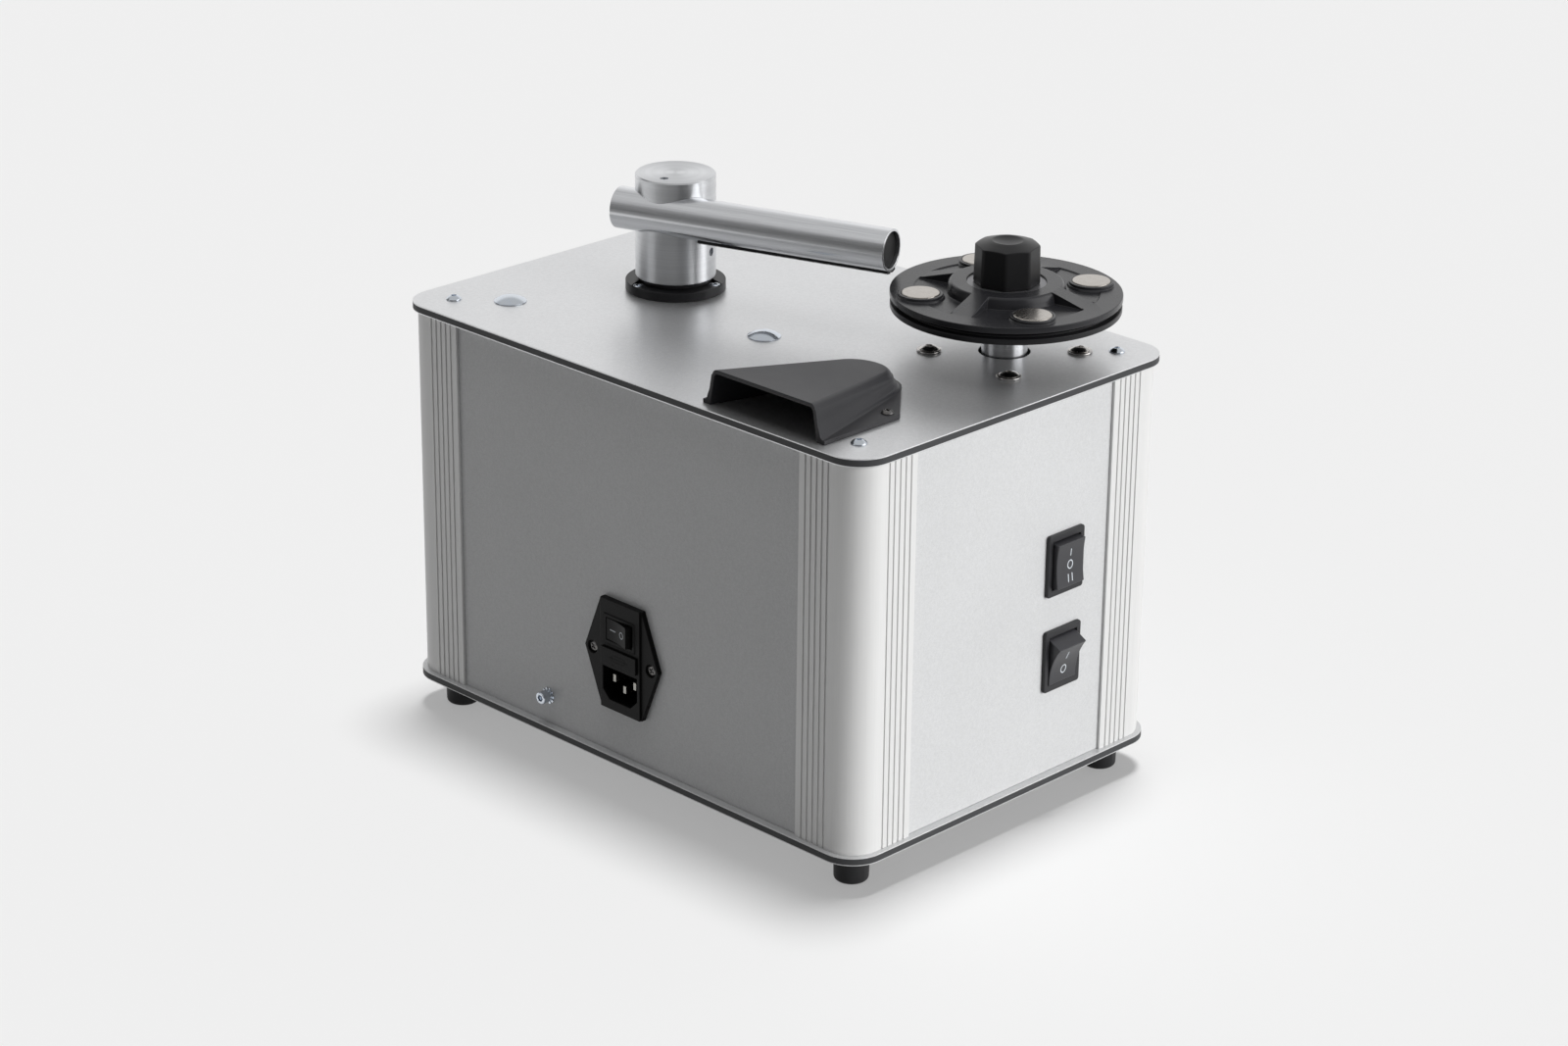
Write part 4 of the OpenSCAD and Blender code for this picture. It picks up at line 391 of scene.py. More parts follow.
@dataclass(frozen=True)
class Turned(Finish):
    """Metal off the lathe: its lines run round an upright axis, on the sides and on the end."""

    axis: Flat = (0.0, 0.0)
    lines: float = 3000.0
    line_depth: float = 0.005
    swing: float = 0.08
    broad: float = 0.12
    spread: float = 0.0
    spread_turn: float = 0.25

    def detail(self, graph: Graph) -> Inputs:
        """Rings round the axis in colour, gloss and normal.

        Args:
            graph: The material's tree.

        Returns:
            The shader's sockets.
        """
        middle = (self.axis[0] * MM, self.axis[1] * MM, 0.0)
        where = graph.vectors("SUBTRACT", graph.place(), middle)
        x, y, z = graph.parts(where)
        radius = graph.math("SQRT", x * x + y * y)
        rings = graph.vector(radius, z, 0.0)
        fine = graph.noise(rings, self.lines, 3.0, 0.7)
        broad = graph.noise(rings, self.lines * self.broad)
        shade = graph.step(fine * 0.5 + broad * 0.5, 0.32, 0.68)
        return {
            "Base Color": self.tinted(graph, shade, self.swing),
            "Roughness": self.roughness - 0.05 + fine * 0.07 + broad * 0.04,
            "Normal": graph.bump(fine, self.line_depth),
            "Anisotropic": self.spread,
            "Anisotropic Rotation": self.spread_turn,
        }


@dataclass(frozen=True)
class Plated(Finish):
    """Plated metal, a little uneven, with fine scuffs."""

    tint: Colour = (0.62, 0.68, 0.78)
    tint_share: float = 0.35
    scuffs: float = 900.0
    scuff_depth: float = 0.008
    drift: float = 260.0
    rub: Point = (1.0, 0.25, 0.6)

    def detail(self, graph: Graph) -> Inputs:
        """A drifting tint, and scuffs in gloss and normal.

        Args:
            graph: The material's tree.

        Returns:
            The shader's sockets.
        """
        where = graph.place()
        drift = graph.noise(where, self.drift, 3.0)
        rubbed = graph.vectors("MULTIPLY", where, self.rub)
        scuff = graph.noise(rubbed, self.scuffs, 4.0, 0.7)
        share = graph.step(drift, 0.35, 0.65) * self.tint_share
        marks = graph.step(scuff, 0.55, 0.68)
        return {
            "Base Color": graph.blend(share, self.colour, self.tint),
            "Roughness": self.roughness + marks * 0.12 + drift * 0.06,
            "Normal": graph.bump(scuff, self.scuff_depth),
        }


@dataclass(frozen=True)
class Pile(Finish):
    """Velvet, whose fine hairs catch light from the side."""

    hairs: float = 5200.0
    hair_depth: float = 0.08
    swing: float = 0.5
    sheen: float = 0.7
    sheen_roughness: float = 0.35
    sheen_tint: Colour = (0.35, 0.35, 0.38)

    def detail(self, graph: Graph) -> Inputs:
        """Hair ends in colour and normal, over an even sheen.

        Args:
            graph: The material's tree.

        Returns:
            The shader's sockets.
        """
        hairs = graph.noise(graph.place(), self.hairs, 2.0, 0.6)
        return {
            "Base Color": self.tinted(graph, hairs, self.swing),
            "Normal": graph.bump(hairs, self.hair_depth),
            "Sheen Weight": self.sheen,
            "Sheen Roughness": self.sheen_roughness,
            "Sheen Tint": (*self.sheen_tint, 1.0),
        }


@dataclass(frozen=True)
class Glass(Finish):
    """Clear glass with a faint smear."""

    smears: float = 300.0
    clear: float = 0.9
    bend: float = 1.5

    def detail(self, graph: Graph) -> Inputs:
        """A smear in the gloss.

        Args:
            graph: The material's tree.

        Returns:
            The shader's sockets.
        """
        smear = graph.noise(graph.place(), self.smears, 3.0)
        gloss = self.roughness + smear * 0.06
        return {"Roughness": gloss, "Transmission Weight": self.clear, "IOR": self.bend}


@dataclass(frozen=True)
class Sleeved(Finish):
    """Leads in covers of their own colours, kept as a colour on the mesh."""

    patches: float = 500.0
    dust_share: float = 0.15
    dust_colour: Colour = (0.3, 0.3, 0.3)

    def detail(self, graph: Graph) -> Inputs:
        """Each lead's own colour, with a faint wave in the gloss.

        Args:
            graph: The material's tree.

        Returns:
            The shader's sockets.
        """
        cover = graph.out(graph.node("ShaderNodeAttribute", {"attribute_name": "cover"}), "Color")
        patches = graph.noise(graph.place(), self.patches)
        dusty = graph.blend(patches * self.dust_share, cover, self.dust_colour)
        return {"Base Color": dusty, "Roughness": self.roughness + patches * 0.1}


ARM_AXIS: Flat = (-75.3, 3.3)
ARM_TURN = math.radians(18.43)
PLATTER_AXIS: Flat = (98.6, 50.0)
TOP_FACE = 213.5
TUBE_RUN: Point = (math.cos(ARM_TURN), math.sin(ARM_TURN), 0.0)

TOP_SKIN = SatinSkin("top_skin", (0.72, 0.725, 0.735), 0.34, 0.85, middle=211.5)
FOOT_SKIN = SatinSkin("foot_skin", (0.60, 0.605, 0.61), 0.40, 0.4, middle=18.0)
PANEL_SKIN = SatinSkin("panel_skin", (0.57, 0.575, 0.58), 0.42, 0.08)
POST_METAL = Drawn("post_metal", (0.69, 0.69, 0.685), 0.36, 0.2, line_depth=0.0015, swing=0.025)
COLUMN_METAL = Turned(
    "column_metal", (0.64, 0.65, 0.665), 0.30, 1.0,
    axis=ARM_AXIS, lines=2400.0, line_depth=0.012, spread=0.85,
)
TUBE_METAL = Drawn("tube_metal", (0.74, 0.75, 0.77), 0.22, 1.0, along=TUBE_RUN)
SHAFT_METAL = Turned("shaft_metal", (0.72, 0.73, 0.75), 0.26, 1.0, axis=PLATTER_AXIS, spread=0.8)
ZINC = Plated("bright_zinc", (0.66, 0.70, 0.75), 0.12, 1.0)
DARK_NICKEL = Plated("dark_nickel_plate", (0.56, 0.54, 0.52), 0.16, 1.0, tint=(0.2, 0.2, 0.22))
MAGNET_METAL = Plated(
    "magnet_plate", (0.50, 0.47, 0.435), 0.20, 1.0, tint=(0.44, 0.41, 0.38), scuff_depth=0.0015
)
RING_METAL = Turned("ring_metal", (0.20, 0.20, 0.21), 0.34, 0.8, axis=PLATTER_AXIS)
OXIDE = Plated("black_oxide_steel", (0.16, 0.155, 0.15), 0.25, 0.9, tint=(0.10, 0.10, 0.11))
BRASS_CONTACT = Plated("contact_plate", (0.36, 0.35, 0.32), 0.25, 1.0, tint=(0.30, 0.30, 0.30))
FLANGE_BLACK = Turned("flange_black", (0.010, 0.010, 0.011), 0.36, 0.0, specular=0.25, axis=ARM_AXIS)
RUBBER = Moulded("foot_rubber", (0.016, 0.016, 0.017), 0.5, specular=0.3, grain=1800.0, grain_depth=0.03)
SEAL_RUBBER = Moulded("seal_rubber", (0.010, 0.010, 0.011), 0.45, specular=0.3)
HOOD_PLASTIC = Moulded("hood_plastic", (0.021, 0.021, 0.023), 0.34, specular=0.24, grain=3600.0)
KNOB_PLASTIC = Moulded(
    "knob_plastic", (0.008, 0.008, 0.0085), 0.36, specular=0.26, grain=3000.0, grain_depth=0.008
)
DISC_PLASTIC = Moulded(
    "clamp_disc_plastic", (0.016, 0.016, 0.018), 0.26, specular=0.34, grain=3200.0, grain_depth=0.014
)
PLATTER_PLASTIC = Moulded(
    "platter_plastic", (0.010, 0.010, 0.011), 0.32, specular=0.3, grain=3000.0, grain_depth=0.008
)
SWITCH_PLASTIC = Moulded(
    "switch_black", (0.022, 0.022, 0.024), 0.38, specular=0.3, grain=3600.0, grain_depth=0.014
)
ROCKER_PLASTIC = Moulded(
    "rocker_black", (0.032, 0.032, 0.036), 0.33, specular=0.45, grain=4200.0, grain_depth=0.008
)
INLET_PLASTIC = Moulded(
    "inlet_black", (0.003, 0.003, 0.003), 0.4, specular=0.12, grain=3000.0, grain_depth=0.012
)
PLUG_PLASTIC = Moulded("plug_black", (0.012, 0.012, 0.012), 0.5, specular=0.25, grain=3000.0)
MARK_PAINT = Moulded("mark_paint", (0.62, 0.66, 0.70), 0.5, grain=5000.0, grain_depth=0.004)
ENGRAVED = Moulded("engraved_mark", (0.004, 0.004, 0.004), 0.6, specular=0.1)
VELVET = Pile("velvet_pile", (0.012, 0.012, 0.013), 0.9)
HOSE_PLASTIC = Moulded("hose_grey", (0.09, 0.095, 0.10), 0.45, grain=900.0, grain_depth=0.05)
TANK_PLASTIC = Moulded("tank_white", (0.62, 0.63, 0.62), 0.45, grain=700.0, grain_depth=0.05)
GLAND_PLASTIC = Moulded("gland_black", (0.03, 0.03, 0.03), 0.4)
BLOWER_PAINT = Plated("blower_paint", (0.45, 0.46, 0.48), 0.38, 0.4, tint=(0.38, 0.39, 0.42))
GEARBOX_METAL = Plated("gearbox_cast", (0.52, 0.53, 0.55), 0.42, 0.7, tint=(0.42, 0.43, 0.46))
IMPELLER_METAL = Plated("impeller_metal", (0.66, 0.67, 0.69), 0.34, 0.9)
BRACKET_STEEL = Plated("bracket_zinc", (0.60, 0.62, 0.66), 0.34, 0.9)
CAPACITOR_PLASTIC = Moulded("capacitor_white", (0.68, 0.68, 0.64), 0.4)
FUSE_GLASS = Glass("fuse_tube_glass", (0.9, 0.92, 0.92), 0.04)
FUSE_CAP = Plated("fuse_cap", (0.76, 0.76, 0.74), 0.2, 1.0)
LEAD_COVER = Sleeved("lead_covers", (0.3, 0.2, 0.1), 0.4)


# Shapes

class Outline(Enum):
    """The shape of a lathe row seen from above."""

    ROUND = "round"
    HEX = "hex"
    CROSS = "cross"


@dataclass(frozen=True)
class Row:
    """One row of a lathe shape, in millimetres; a hex's radius is half its flats."""

    radius: float
    height: float
    outline: Outline = Outline.ROUND

    def reach(self, turn: float) -> float:
        """How far the row reaches in one direction.

        Args:
            turn: The direction, in radians.

        Returns:
            The distance from the axis.
        """
        if self.outline is Outline.HEX:
            side = math.radians(60)
            return self.radius / math.cos((turn % side) - side / 2)
        if self.outline is Outline.CROSS:
            quarter = math.radians(90)
            fold = turn % quarter
            fold = min(fold, quarter - fold)
            half_slot = self.radius * 0.3
            return min(self.radius, half_slot / max(math.sin(fold), 1e-6))
        return self.radius


def at(x: float, y: float, z: float) -> Matrix:
    """A frame moved to a point, in millimetres."""
    return Matrix.Translation((x, y, z))


def turned(degrees: float, axis: str) -> Matrix:
    """A frame turned about one axis."""
    return Matrix.Rotation(math.radians(degrees), 4, axis)


class Shape:
    """A closed form in millimetres that grows by simple steps."""

    def __init__(self, place: Optional[Matrix] = None) -> None:
        """Starts empty.

        Args:
            place: The frame that its points are given in.
        """
        self.form = bmesh.new()
        self.place = place.copy() if place else Matrix.Identity(4)

    def loft(
        self, loops: Sequence[Sequence[Point]], capped: bool = True, joined: bool = False
    ) -> "Shape":
        """Skins a row of closed loops that have equally many points.

        Args:
            loops: The loops, in order.
            capped: Whether the first and the last loop are closed with a face.
            joined: Whether the last loop runs back to the first.

        Returns:
            This shape.
        """
        rings = [
            [self.form.verts.new(self.place @ Vector(point)) for point in loop] for loop in loops
        ]
        count = len(rings[0])
        pairs = list(zip(rings, rings[1:]))
        if joined:
            pairs.append((rings[-1], rings[0]))
        for low, high in pairs:
            for i in range(count):
                j = (i + 1) % count
                self.form.faces.new((low[i], low[j], high[j], high[i]))
        if capped and not joined:
            self.form.faces.new(list(reversed(rings[0])))
            self.form.faces.new(rings[-1])
        return self

    def revolve(self, rows: Sequence[Row], steps: int = 48, joined: bool = False) -> "Shape":
        """Turns rows about the z axis.

        Args:
            rows: The rows, from the bottom round to the top.
            steps: How many points go round.
            joined: Whether the last row runs back to the first, as on a ring.

        Returns:
            This shape.
        """
        turns = [math.tau * i / steps for i in range(steps)]
        loops = [
            [
                (row.reach(t) * math.cos(t), row.reach(t) * math.sin(t), row.height)
                for t in turns
            ]
            for row in rows
        ]
        return self.loft(loops, capped=False, joined=joined)

    def prism(self, outline: Sequence[Flat], low: float, high: float) -> "Shape":
        """Raises a flat outline, anticlockwise, from one height to another."""
        loops = [[(x, y, z) for x, y in outline] for z in (low, high)]
        return self.loft(loops)

    def mesh(self, name: str, weld: float = 0.0005) -> bpy.types.Mesh:
        """The finished form in metres.

        Args:
            name: The mesh's name.
            weld: Points closer than this many millimetres become one.

        Returns:
            The mesh.
        """
        bmesh.ops.remove_doubles(self.form, verts=self.form.verts, dist=weld)
        flat = [f for f in self.form.faces if f.calc_area() < 1e-9]
        bmesh.ops.delete(self.form, geom=flat, context="FACES_ONLY")
        bmesh.ops.recalc_face_normals(self.form, faces=self.form.faces)
        bmesh.ops.scale(self.form, vec=(MM, MM, MM), verts=self.form.verts)
        made = bpy.data.meshes.new(name)
        self.form.to_mesh(made)
        self.form.free()
        return made

    def piece(self, name: str, weld: float = 0.0005) -> bpy.types.Object:
        """The finished form as an object with smooth shading."""
        return smoothed(loose(name, self.mesh(name, weld)))


def rounded(corners: Sequence[Flat], radius: float, steps: int = 6) -> list[Flat]:
    """Rounds the corners of a flat outline.

    Args:
        corners: Its corners, anticlockwise.
        radius: The radius of the corners.
        steps: How many runs each corner has.

    Returns:
        The rounded outline.
    """
    made: list[Flat] = []
    count = len(corners)
    for i in range(count):
        here = Vector(corners[i])
        back = (Vector(corners[i - 1]) - here).normalized()
        ahead = (Vector(corners[(i + 1) % count]) - here).normalized()
        half = back.angle(ahead) / 2
        centre = here + (back + ahead).normalized() * (radius / math.sin(half))
        start = here + back * (radius / math.tan(half)) - centre
        end = here + ahead * (radius / math.tan(half)) - centre
        sweep = start.angle_signed(end)
        for k in range(steps + 1):
            turn = -sweep * k / steps
            cos, sin = math.cos(turn), math.sin(turn)
            made.append((
                centre.x + start.x * cos - start.y * sin,
                centre.y + start.x * sin + start.y * cos,
            ))
    return made


def rectangle(width: float, height: float, x: float = 0.0, y: float = 0.0) -> list[Flat]:
    """A rectangle's corners round its middle, anticlockwise."""
    half, tall = width / 2, height / 2
    return [(x - half, y - tall), (x + half, y - tall), (x + half, y + tall), (x - half, y + tall)]


def arc(centre: Flat, radius: float, start: float, end: float, steps: int) -> list[Flat]:
    """Points along an arc from one direction to another, in degrees, in so many steps."""
    turns = [math.radians(start + (end - start) * k / steps) for k in range(steps + 1)]
    return [(centre[0] + radius * math.cos(t), centre[1] + radius * math.sin(t)) for t in turns]


def ringed(axis: Flat, circle: float, count: int, turn: float, height: float) -> Places:
    """Places on a circle round an upright axis, which face up.

    Args:
        axis: The axis.
        circle: The circle's radius.
        count: How many there are.
        turn: The first one's direction, in degrees.
        height: Their height.

    Returns:
        Each point in millimetres, with the direction up.
    """
    turns = [math.radians(turn + 360 / count * k) for k in range(count)]
    x, y = axis
    return [((x + circle * math.cos(t), y + circle * math.sin(t), height), UP) for t in turns]


def loose(name: str, mesh: bpy.types.Mesh) -> bpy.types.Object:
    """An object for a mesh, in the scene.

    Args:
        name: The object's name.
        mesh: The mesh.

    Returns:
        The object.
    """
    made = bpy.data.objects.new(name, mesh)
    bpy.context.scene.collection.objects.link(made)
    return made


def settled(thing: bpy.types.Object) -> bpy.types.Object:
    """Turns a piece with modifiers into a plain mesh.

    Args:
        thing: The piece.

    Returns:
        The same piece, with its result as its mesh and no modifiers.
    """
    graph = bpy.context.evaluated_depsgraph_get()
    graph.update()
    result = bpy.data.meshes.new_from_object(thing.evaluated_get(graph), depsgraph=graph)
    thing.modifiers.clear()
    old = thing.data
    thing.data = result
    bpy.data.meshes.remove(old)
    return thing


def creased(mesh: bpy.types.Mesh, angle: float = CREASE) -> None:
    """Smooths a mesh's shading but for creases sharper than so many degrees."""
    mesh.polygons.foreach_set("use_smooth", [True] * len(mesh.polygons))
    mesh.set_sharp_from_angle(angle=math.radians(angle))


def smoothed(thing: bpy.types.Object) -> bpy.types.Object:
    """Smooths a piece's shading, evens its normals and keeps its creases.

    Args:
        thing: The piece.

    Returns:
        The piece.
    """
    creased(thing.data)
    thing.modifiers.new("even", "WEIGHTED_NORMAL").keep_sharp = True
    return settled(thing)


def softened(thing: bpy.types.Object, width: float, angle: float = 32.0) -> bpy.types.Object:
    """Eases a piece's sharp edges and smooths its shading.

    Args:
        thing: The piece.
        width: The width of the eased edge, in millimetres.
        angle: Edges sharper than this many degrees are eased.

    Returns:
        The piece.
    """
    bevel = thing.modifiers.new("ease", "BEVEL")
    bevel.width = width * MM
    bevel.segments = 2
    bevel.limit_method = "ANGLE"
    bevel.angle_limit = math.radians(angle)
    bevel.use_clamp_overlap = False
    return smoothed(settled(thing))


def merged_copy(node: str, name: str) -> bpy.types.Object:
    """A copy of a CAD node whose loose triangles are welded and laid back into flat faces.

    Args:
        node: The node.
        name: The copy's name.

    Returns:
        The copy.
    """
    form = bmesh.new()
    form.from_mesh(frame["nodes"][node].data)
    bmesh.ops.remove_doubles(form, verts=form.verts, dist=WELD)
    bmesh.ops.dissolve_limit(
        form, angle_limit=FLATNESS, verts=form.verts, edges=form.edges, delimit=set()
    )
    mesh = bpy.data.meshes.new(name)
    form.to_mesh(mesh)
    form.free()
    mesh.materials.clear()
    return loose(name, mesh)


def joined(name: str, *things: bpy.types.Object) -> bpy.types.Object:
    """Joins pieces that are used up.

    Args:
        name: The result's name.
        things: The pieces.

    Returns:
        One piece.
    """
    form = bmesh.new()
    for thing in things:
        form.from_mesh(thing.data)
        bpy.data.objects.remove(thing)
    mesh = bpy.data.meshes.new(name)
    form.to_mesh(mesh)
    form.free()
    return loose(name, mesh)


def record_slot(node: str) -> str:
    """The material slot that the record gives a node."""
    parts = frame["record"]["subparts"]
    return next(part["material_slot"] for part in parts if part["node"] == node)


def node_body(node: str) -> str:
    """The body that a node rides on."""
    bodies = frame["record"]["behaviour"]["bodies"]
    return next(body for body, nodes in bodies.items() if node in nodes)


@dataclass(frozen=True)
class Piece:
    """A built piece, before it gets its finish and its body."""

    thing: bpy.types.Object
    node: str
    finish: Finish
    replaces: bool = True

    def dress(self) -> bpy.types.Object:
        """Gives the piece its finish and its node's body, and looks up its node's slot without using it.

        Returns:
            The finished piece.
        """
        thing, node = self.thing, self.node
        thing.data.materials.clear()
        thing.data.materials.append(self.finish.material())
        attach(thing, node_body(node))
        if self.replaces:
            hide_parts(node)
        record_slot(node)
        return thing


@dataclass(frozen=True)
class Ease:
    """A CAD node that shows as a copy with eased edges; sizes in millimetres and degrees."""

    node: str
    finish: Finish
    width: float
    angle: float = 32.0

    def build(self) -> Piece:
        """Builds the copy."""
        thing = softened(merged_copy(self.node, self.node + "_eased"), self.width, self.angle)
        return Piece(thing, self.node, self.finish)


# Repeated pieces

class Maker:
    """A Geometry Nodes tree with named inputs that makes plain meshes."""

    def __init__(self, name: str, kinds: dict[str, str]) -> None:
        """Starts the tree.

        Args:
            name: Its name.
            kinds: The names of its inputs with their kinds.
        """
        self.tree = bpy.data.node_groups.new(name, "GeometryNodeTree")
        face = self.tree.interface
        face.new_socket("Geometry", in_out="OUTPUT", socket_type="NodeSocketGeometry")
        self.inputs = {
            label: face.new_socket(label, in_out="INPUT", socket_type="NodeSocket" + kind).identifier
            for label, kind in {"Geometry": "Geometry", **kinds, "Finish": "Material"}.items()
        }
        self.graph = Graph(self.tree)
        self.start = self.graph.node("NodeGroupInput")

    def given(self, label: str) -> Socket:
        """One of the tree's inputs."""
        return self.graph.out(self.start, label)

    def close(self, result: bpy.types.Node) -> None:
        """Realizes the result's instances, sets their finish and ends the tree.

        Args:
            result: The last node of the shape.
        """
        real = self.graph.node("GeometryNodeRealizeInstances", None, {"Geometry": result})
        inputs = {"Geometry": real, "Material": self.given("Finish")}
        finish = self.graph.node("GeometryNodeSetMaterial", None, inputs)
        self.graph.node("NodeGroupOutput", None, {"Geometry": finish})

    def apply(self, mesh: bpy.types.Mesh, values: dict[str, Any], finish: Finish) -> bpy.types.Object:
        """Runs the tree on a mesh.

        Args:
            mesh: The mesh.
            values: What the inputs get.
            finish: The finish of the result.

        Returns:
            One plain mesh, named as the one that it started from.
        """
        thing = loose(mesh.name, mesh)
        tool = thing.modifiers.new(self.tree.name, "NODES")
        tool.node_group = self.tree
        for label, value in {**values, "Finish": finish.material()}.items():
            tool[self.inputs[label]] = value
        return settled(thing)


class Repeat(Maker):
    """Sets a piece out on points, each turned by chance about its own axis."""

    def __init__(self) -> None:
        """Builds the tree."""
        kinds = {"Piece": "Object", "Spread": "Float", "Size swing": "Float", "Seed": "Int"}
        super().__init__("set_out", kinds)
        graph = self.graph
        piece = graph.node("GeometryNodeObjectInfo", None, {"Object": self.given("Piece")})
        spread, seed = self.given("Spread"), self.given("Seed")
        chance = graph.node(
            "FunctionNodeRandomValue", {"data_type": "FLOAT"},
            {2: spread * -0.5, 3: spread * 0.5, "Seed": seed},
        )
        size = graph.node(
            "FunctionNodeRandomValue", {"data_type": "FLOAT"},
            {2: 1 - self.given("Size swing"), 3: 1.0, "Seed": seed + 7},
        )
        facing = graph.node(
            "GeometryNodeInputNamedAttribute", {"data_type": "FLOAT_VECTOR"}, {"Name": "facing"}
        )
        toward = graph.node("FunctionNodeAlignRotationToVector", {"axis": "Z"}, {"Vector": facing})
        rotate = graph.node(
            "FunctionNodeRotateRotation", {"rotation_space": "LOCAL"},
            {"Rotation": toward, "Rotate By": graph.vector(0.0, 0.0, graph.out(chance, 1))},
        )
        self.close(graph.node("GeometryNodeInstanceOnPoints", None, {
            "Points": self.given("Geometry"),
            "Instance": graph.out(piece, "Geometry"),
            "Rotation": rotate,
            "Scale": graph.out(size, 1),
        }))

    def set_out(
        self,
        name: str,
        piece: bpy.types.Object,
        places: Places,
        finish: Finish,
        seed: int,
        swing: float = 0.0,
    ) -> bpy.types.Object:
        """Sets copies of a piece out.

        Args:
            name: The result's name.
            piece: The piece, which is used up.
            places: Each copy's point in millimetres, and the direction it faces.
            finish: The finish of all copies.
            seed: The seed of the chance.
            swing: How much smaller a copy may be, as a share.

        Returns:
            One plain mesh.
        """
        points = bpy.data.meshes.new(name)
        points.from_pydata([tuple(Vector(spot) * MM) for spot, _ in places], [], [])
        facing = points.attributes.new("facing", "FLOAT_VECTOR", "POINT")
        for item, (_, way) in zip(facing.data, places):
            item.vector = way
        values = {"Piece": piece, "Spread": math.tau, "Size swing": swing, "Seed": seed}
        thing = self.apply(points, values, finish)
        left = thing.data.attributes.get("facing")
        if left:
            thing.data.attributes.remove(left)
        bpy.data.objects.remove(piece)
        return thing


class Ribbed(Maker):
    """Runs a ribbed pipe along a path."""

    def __init__(self) -> None:
        """Builds the tree."""
        super().__init__("ribbed_pipe", {"Radius": "Float", "Rib depth": "Float", "Pitch": "Float"})
        graph, pitch = self.graph, self.given("Pitch")
        curve = graph.node("GeometryNodeMeshToCurve", None, {"Mesh": self.given("Geometry")})
        even = graph.node(
            "GeometryNodeResampleCurve", {"mode": "LENGTH"}, {"Curve": curve, "Length": pitch / 6}
        )
        along = graph.out(graph.node("GeometryNodeSplineParameter"), "Length")
        wave = graph.math("COSINE", along / pitch * math.tau) * 0.5 - 0.5
        size = self.given("Radius") + wave * self.given("Rib depth")
        shaped = graph.node("GeometryNodeSetCurveRadius", None, {"Curve": even, "Radius": size})
        ring = graph.node(
            "GeometryNodeCurvePrimitiveCircle", {"mode": "RADIUS"}, {"Resolution": 40, "Radius": 1.0}
        )
        inputs = {"Curve": shaped, "Profile Curve": ring, "Fill Caps": True}
        pipe = graph.node("GeometryNodeCurveToMesh", None, inputs)
        if "Scale" in pipe.inputs:
            radius = graph.out(graph.node("GeometryNodeInputRadius"))
            self.tree.links.new(radius.output, pipe.inputs["Scale"])
        self.close(pipe)

    def run(
        self, name: str, path: Sequence[Point], radius: float, depth: float, pitch: float, finish: Finish
    ) -> bpy.types.Object:
        """Runs a pipe along a path.

        Args:
            name: The pipe's name.
            path: The path's points, in millimetres.
            radius: The outer radius.
            depth: How deep the ribs' valleys are.
            pitch: The distance from rib to rib.
            finish: The pipe's finish.

        Returns:
            One plain mesh, closed at both ends.
        """
        line = bpy.data.meshes.new(name)
        edges = [(i, i + 1) for i in range(len(path) - 1)]
        line.from_pydata([tuple(Vector(spot) * MM) for spot in path], edges, [])
        values = {"Radius": radius * MM, "Rib depth": depth * MM, "Pitch": pitch * MM}
        thing = self.apply(line, values, finish)
        form = bmesh.new()
        form.from_mesh(thing.data)
        bmesh.ops.remove_doubles(form, verts=form.verts, dist=WELD)
        bmesh.ops.recalc_face_normals(form, faces=form.faces)
        form.to_mesh(thing.data)
        form.free()
        creased(thing.data, 60.0)
        return thing


REPEAT = Repeat()
RIBBED = Ribbed()


def dome_rows(radius: float, height: float, rim: float, steps: int, top: float = 0.0) -> list[Row]:
    """Rows up a spherical cap with a small upright rim.

    Args:
        radius: The cap's radius at its foot.
        height: Its height.
        rim: The height of the upright rim under the cap.
        steps: How many rows it has.
        top: The radius at which the rows stop.

    Returns:
        The rows, from the foot up.
    """
    rise = height - rim
    ball = (radius * radius + rise * rise) / (2 * rise)
    rows = [Row(radius - 0.12, 0.0), Row(radius, 0.12), Row(radius, rim)]
    for k in range(1, steps + 1):
        reach = radius + (top - radius) * k / steps
        rows.append(Row(reach, height - ball + math.sqrt(ball * ball - reach * reach)))
    return rows


@dataclass(frozen=True)
class ScrewHead:
    """A screw whose head stands on z = 0 and whose shank points down, in millimetres."""

    radius: float
    height: float
    shank: float
    length: float
    drive: Outline
    drive_size: float
    drive_depth: float
    rim: float = 0.35
    flange: float = 0.0
    flange_height: float = 0.0

    def build(self, name: str) -> bpy.types.Object:
        """Builds one screw.

        Args:
            name: Its name.

        Returns:
            The screw, at the origin.
        """
        foot = [Row(0, -self.length), Row(self.shank - 0.3, -self.length)]
        foot += [Row(self.shank, 0.3 - self.length), Row(self.shank, 0.0)]
        lift = self.flange_height
        if self.flange:
            foot += [
                Row(self.flange - 0.3, 0.0), Row(self.flange, 0.25),
                Row(self.flange, lift - 0.3), Row(self.flange - 0.35, lift),
                Row(self.radius + 0.25, lift),
            ]
        cut = self.drive_size * 1.18
        head = [
            Row(row.radius, row.height + lift)
            for row in dome_rows(self.radius, self.height - lift, self.rim, 9, cut)
        ]
        top = head[-1].height
        drive = [
            Row(self.drive_size * 1.04, top - 0.02, self.drive),
            Row(self.drive_size, top - 0.15, self.drive),
            Row(self.drive_size * 0.96, top - self.drive_depth, self.drive),
            Row(0, top - self.drive_depth - self.drive_size * 0.2),
        ]
        return Shape().revolve(foot + head + drive, 48).piece(name)


# The machine's groups

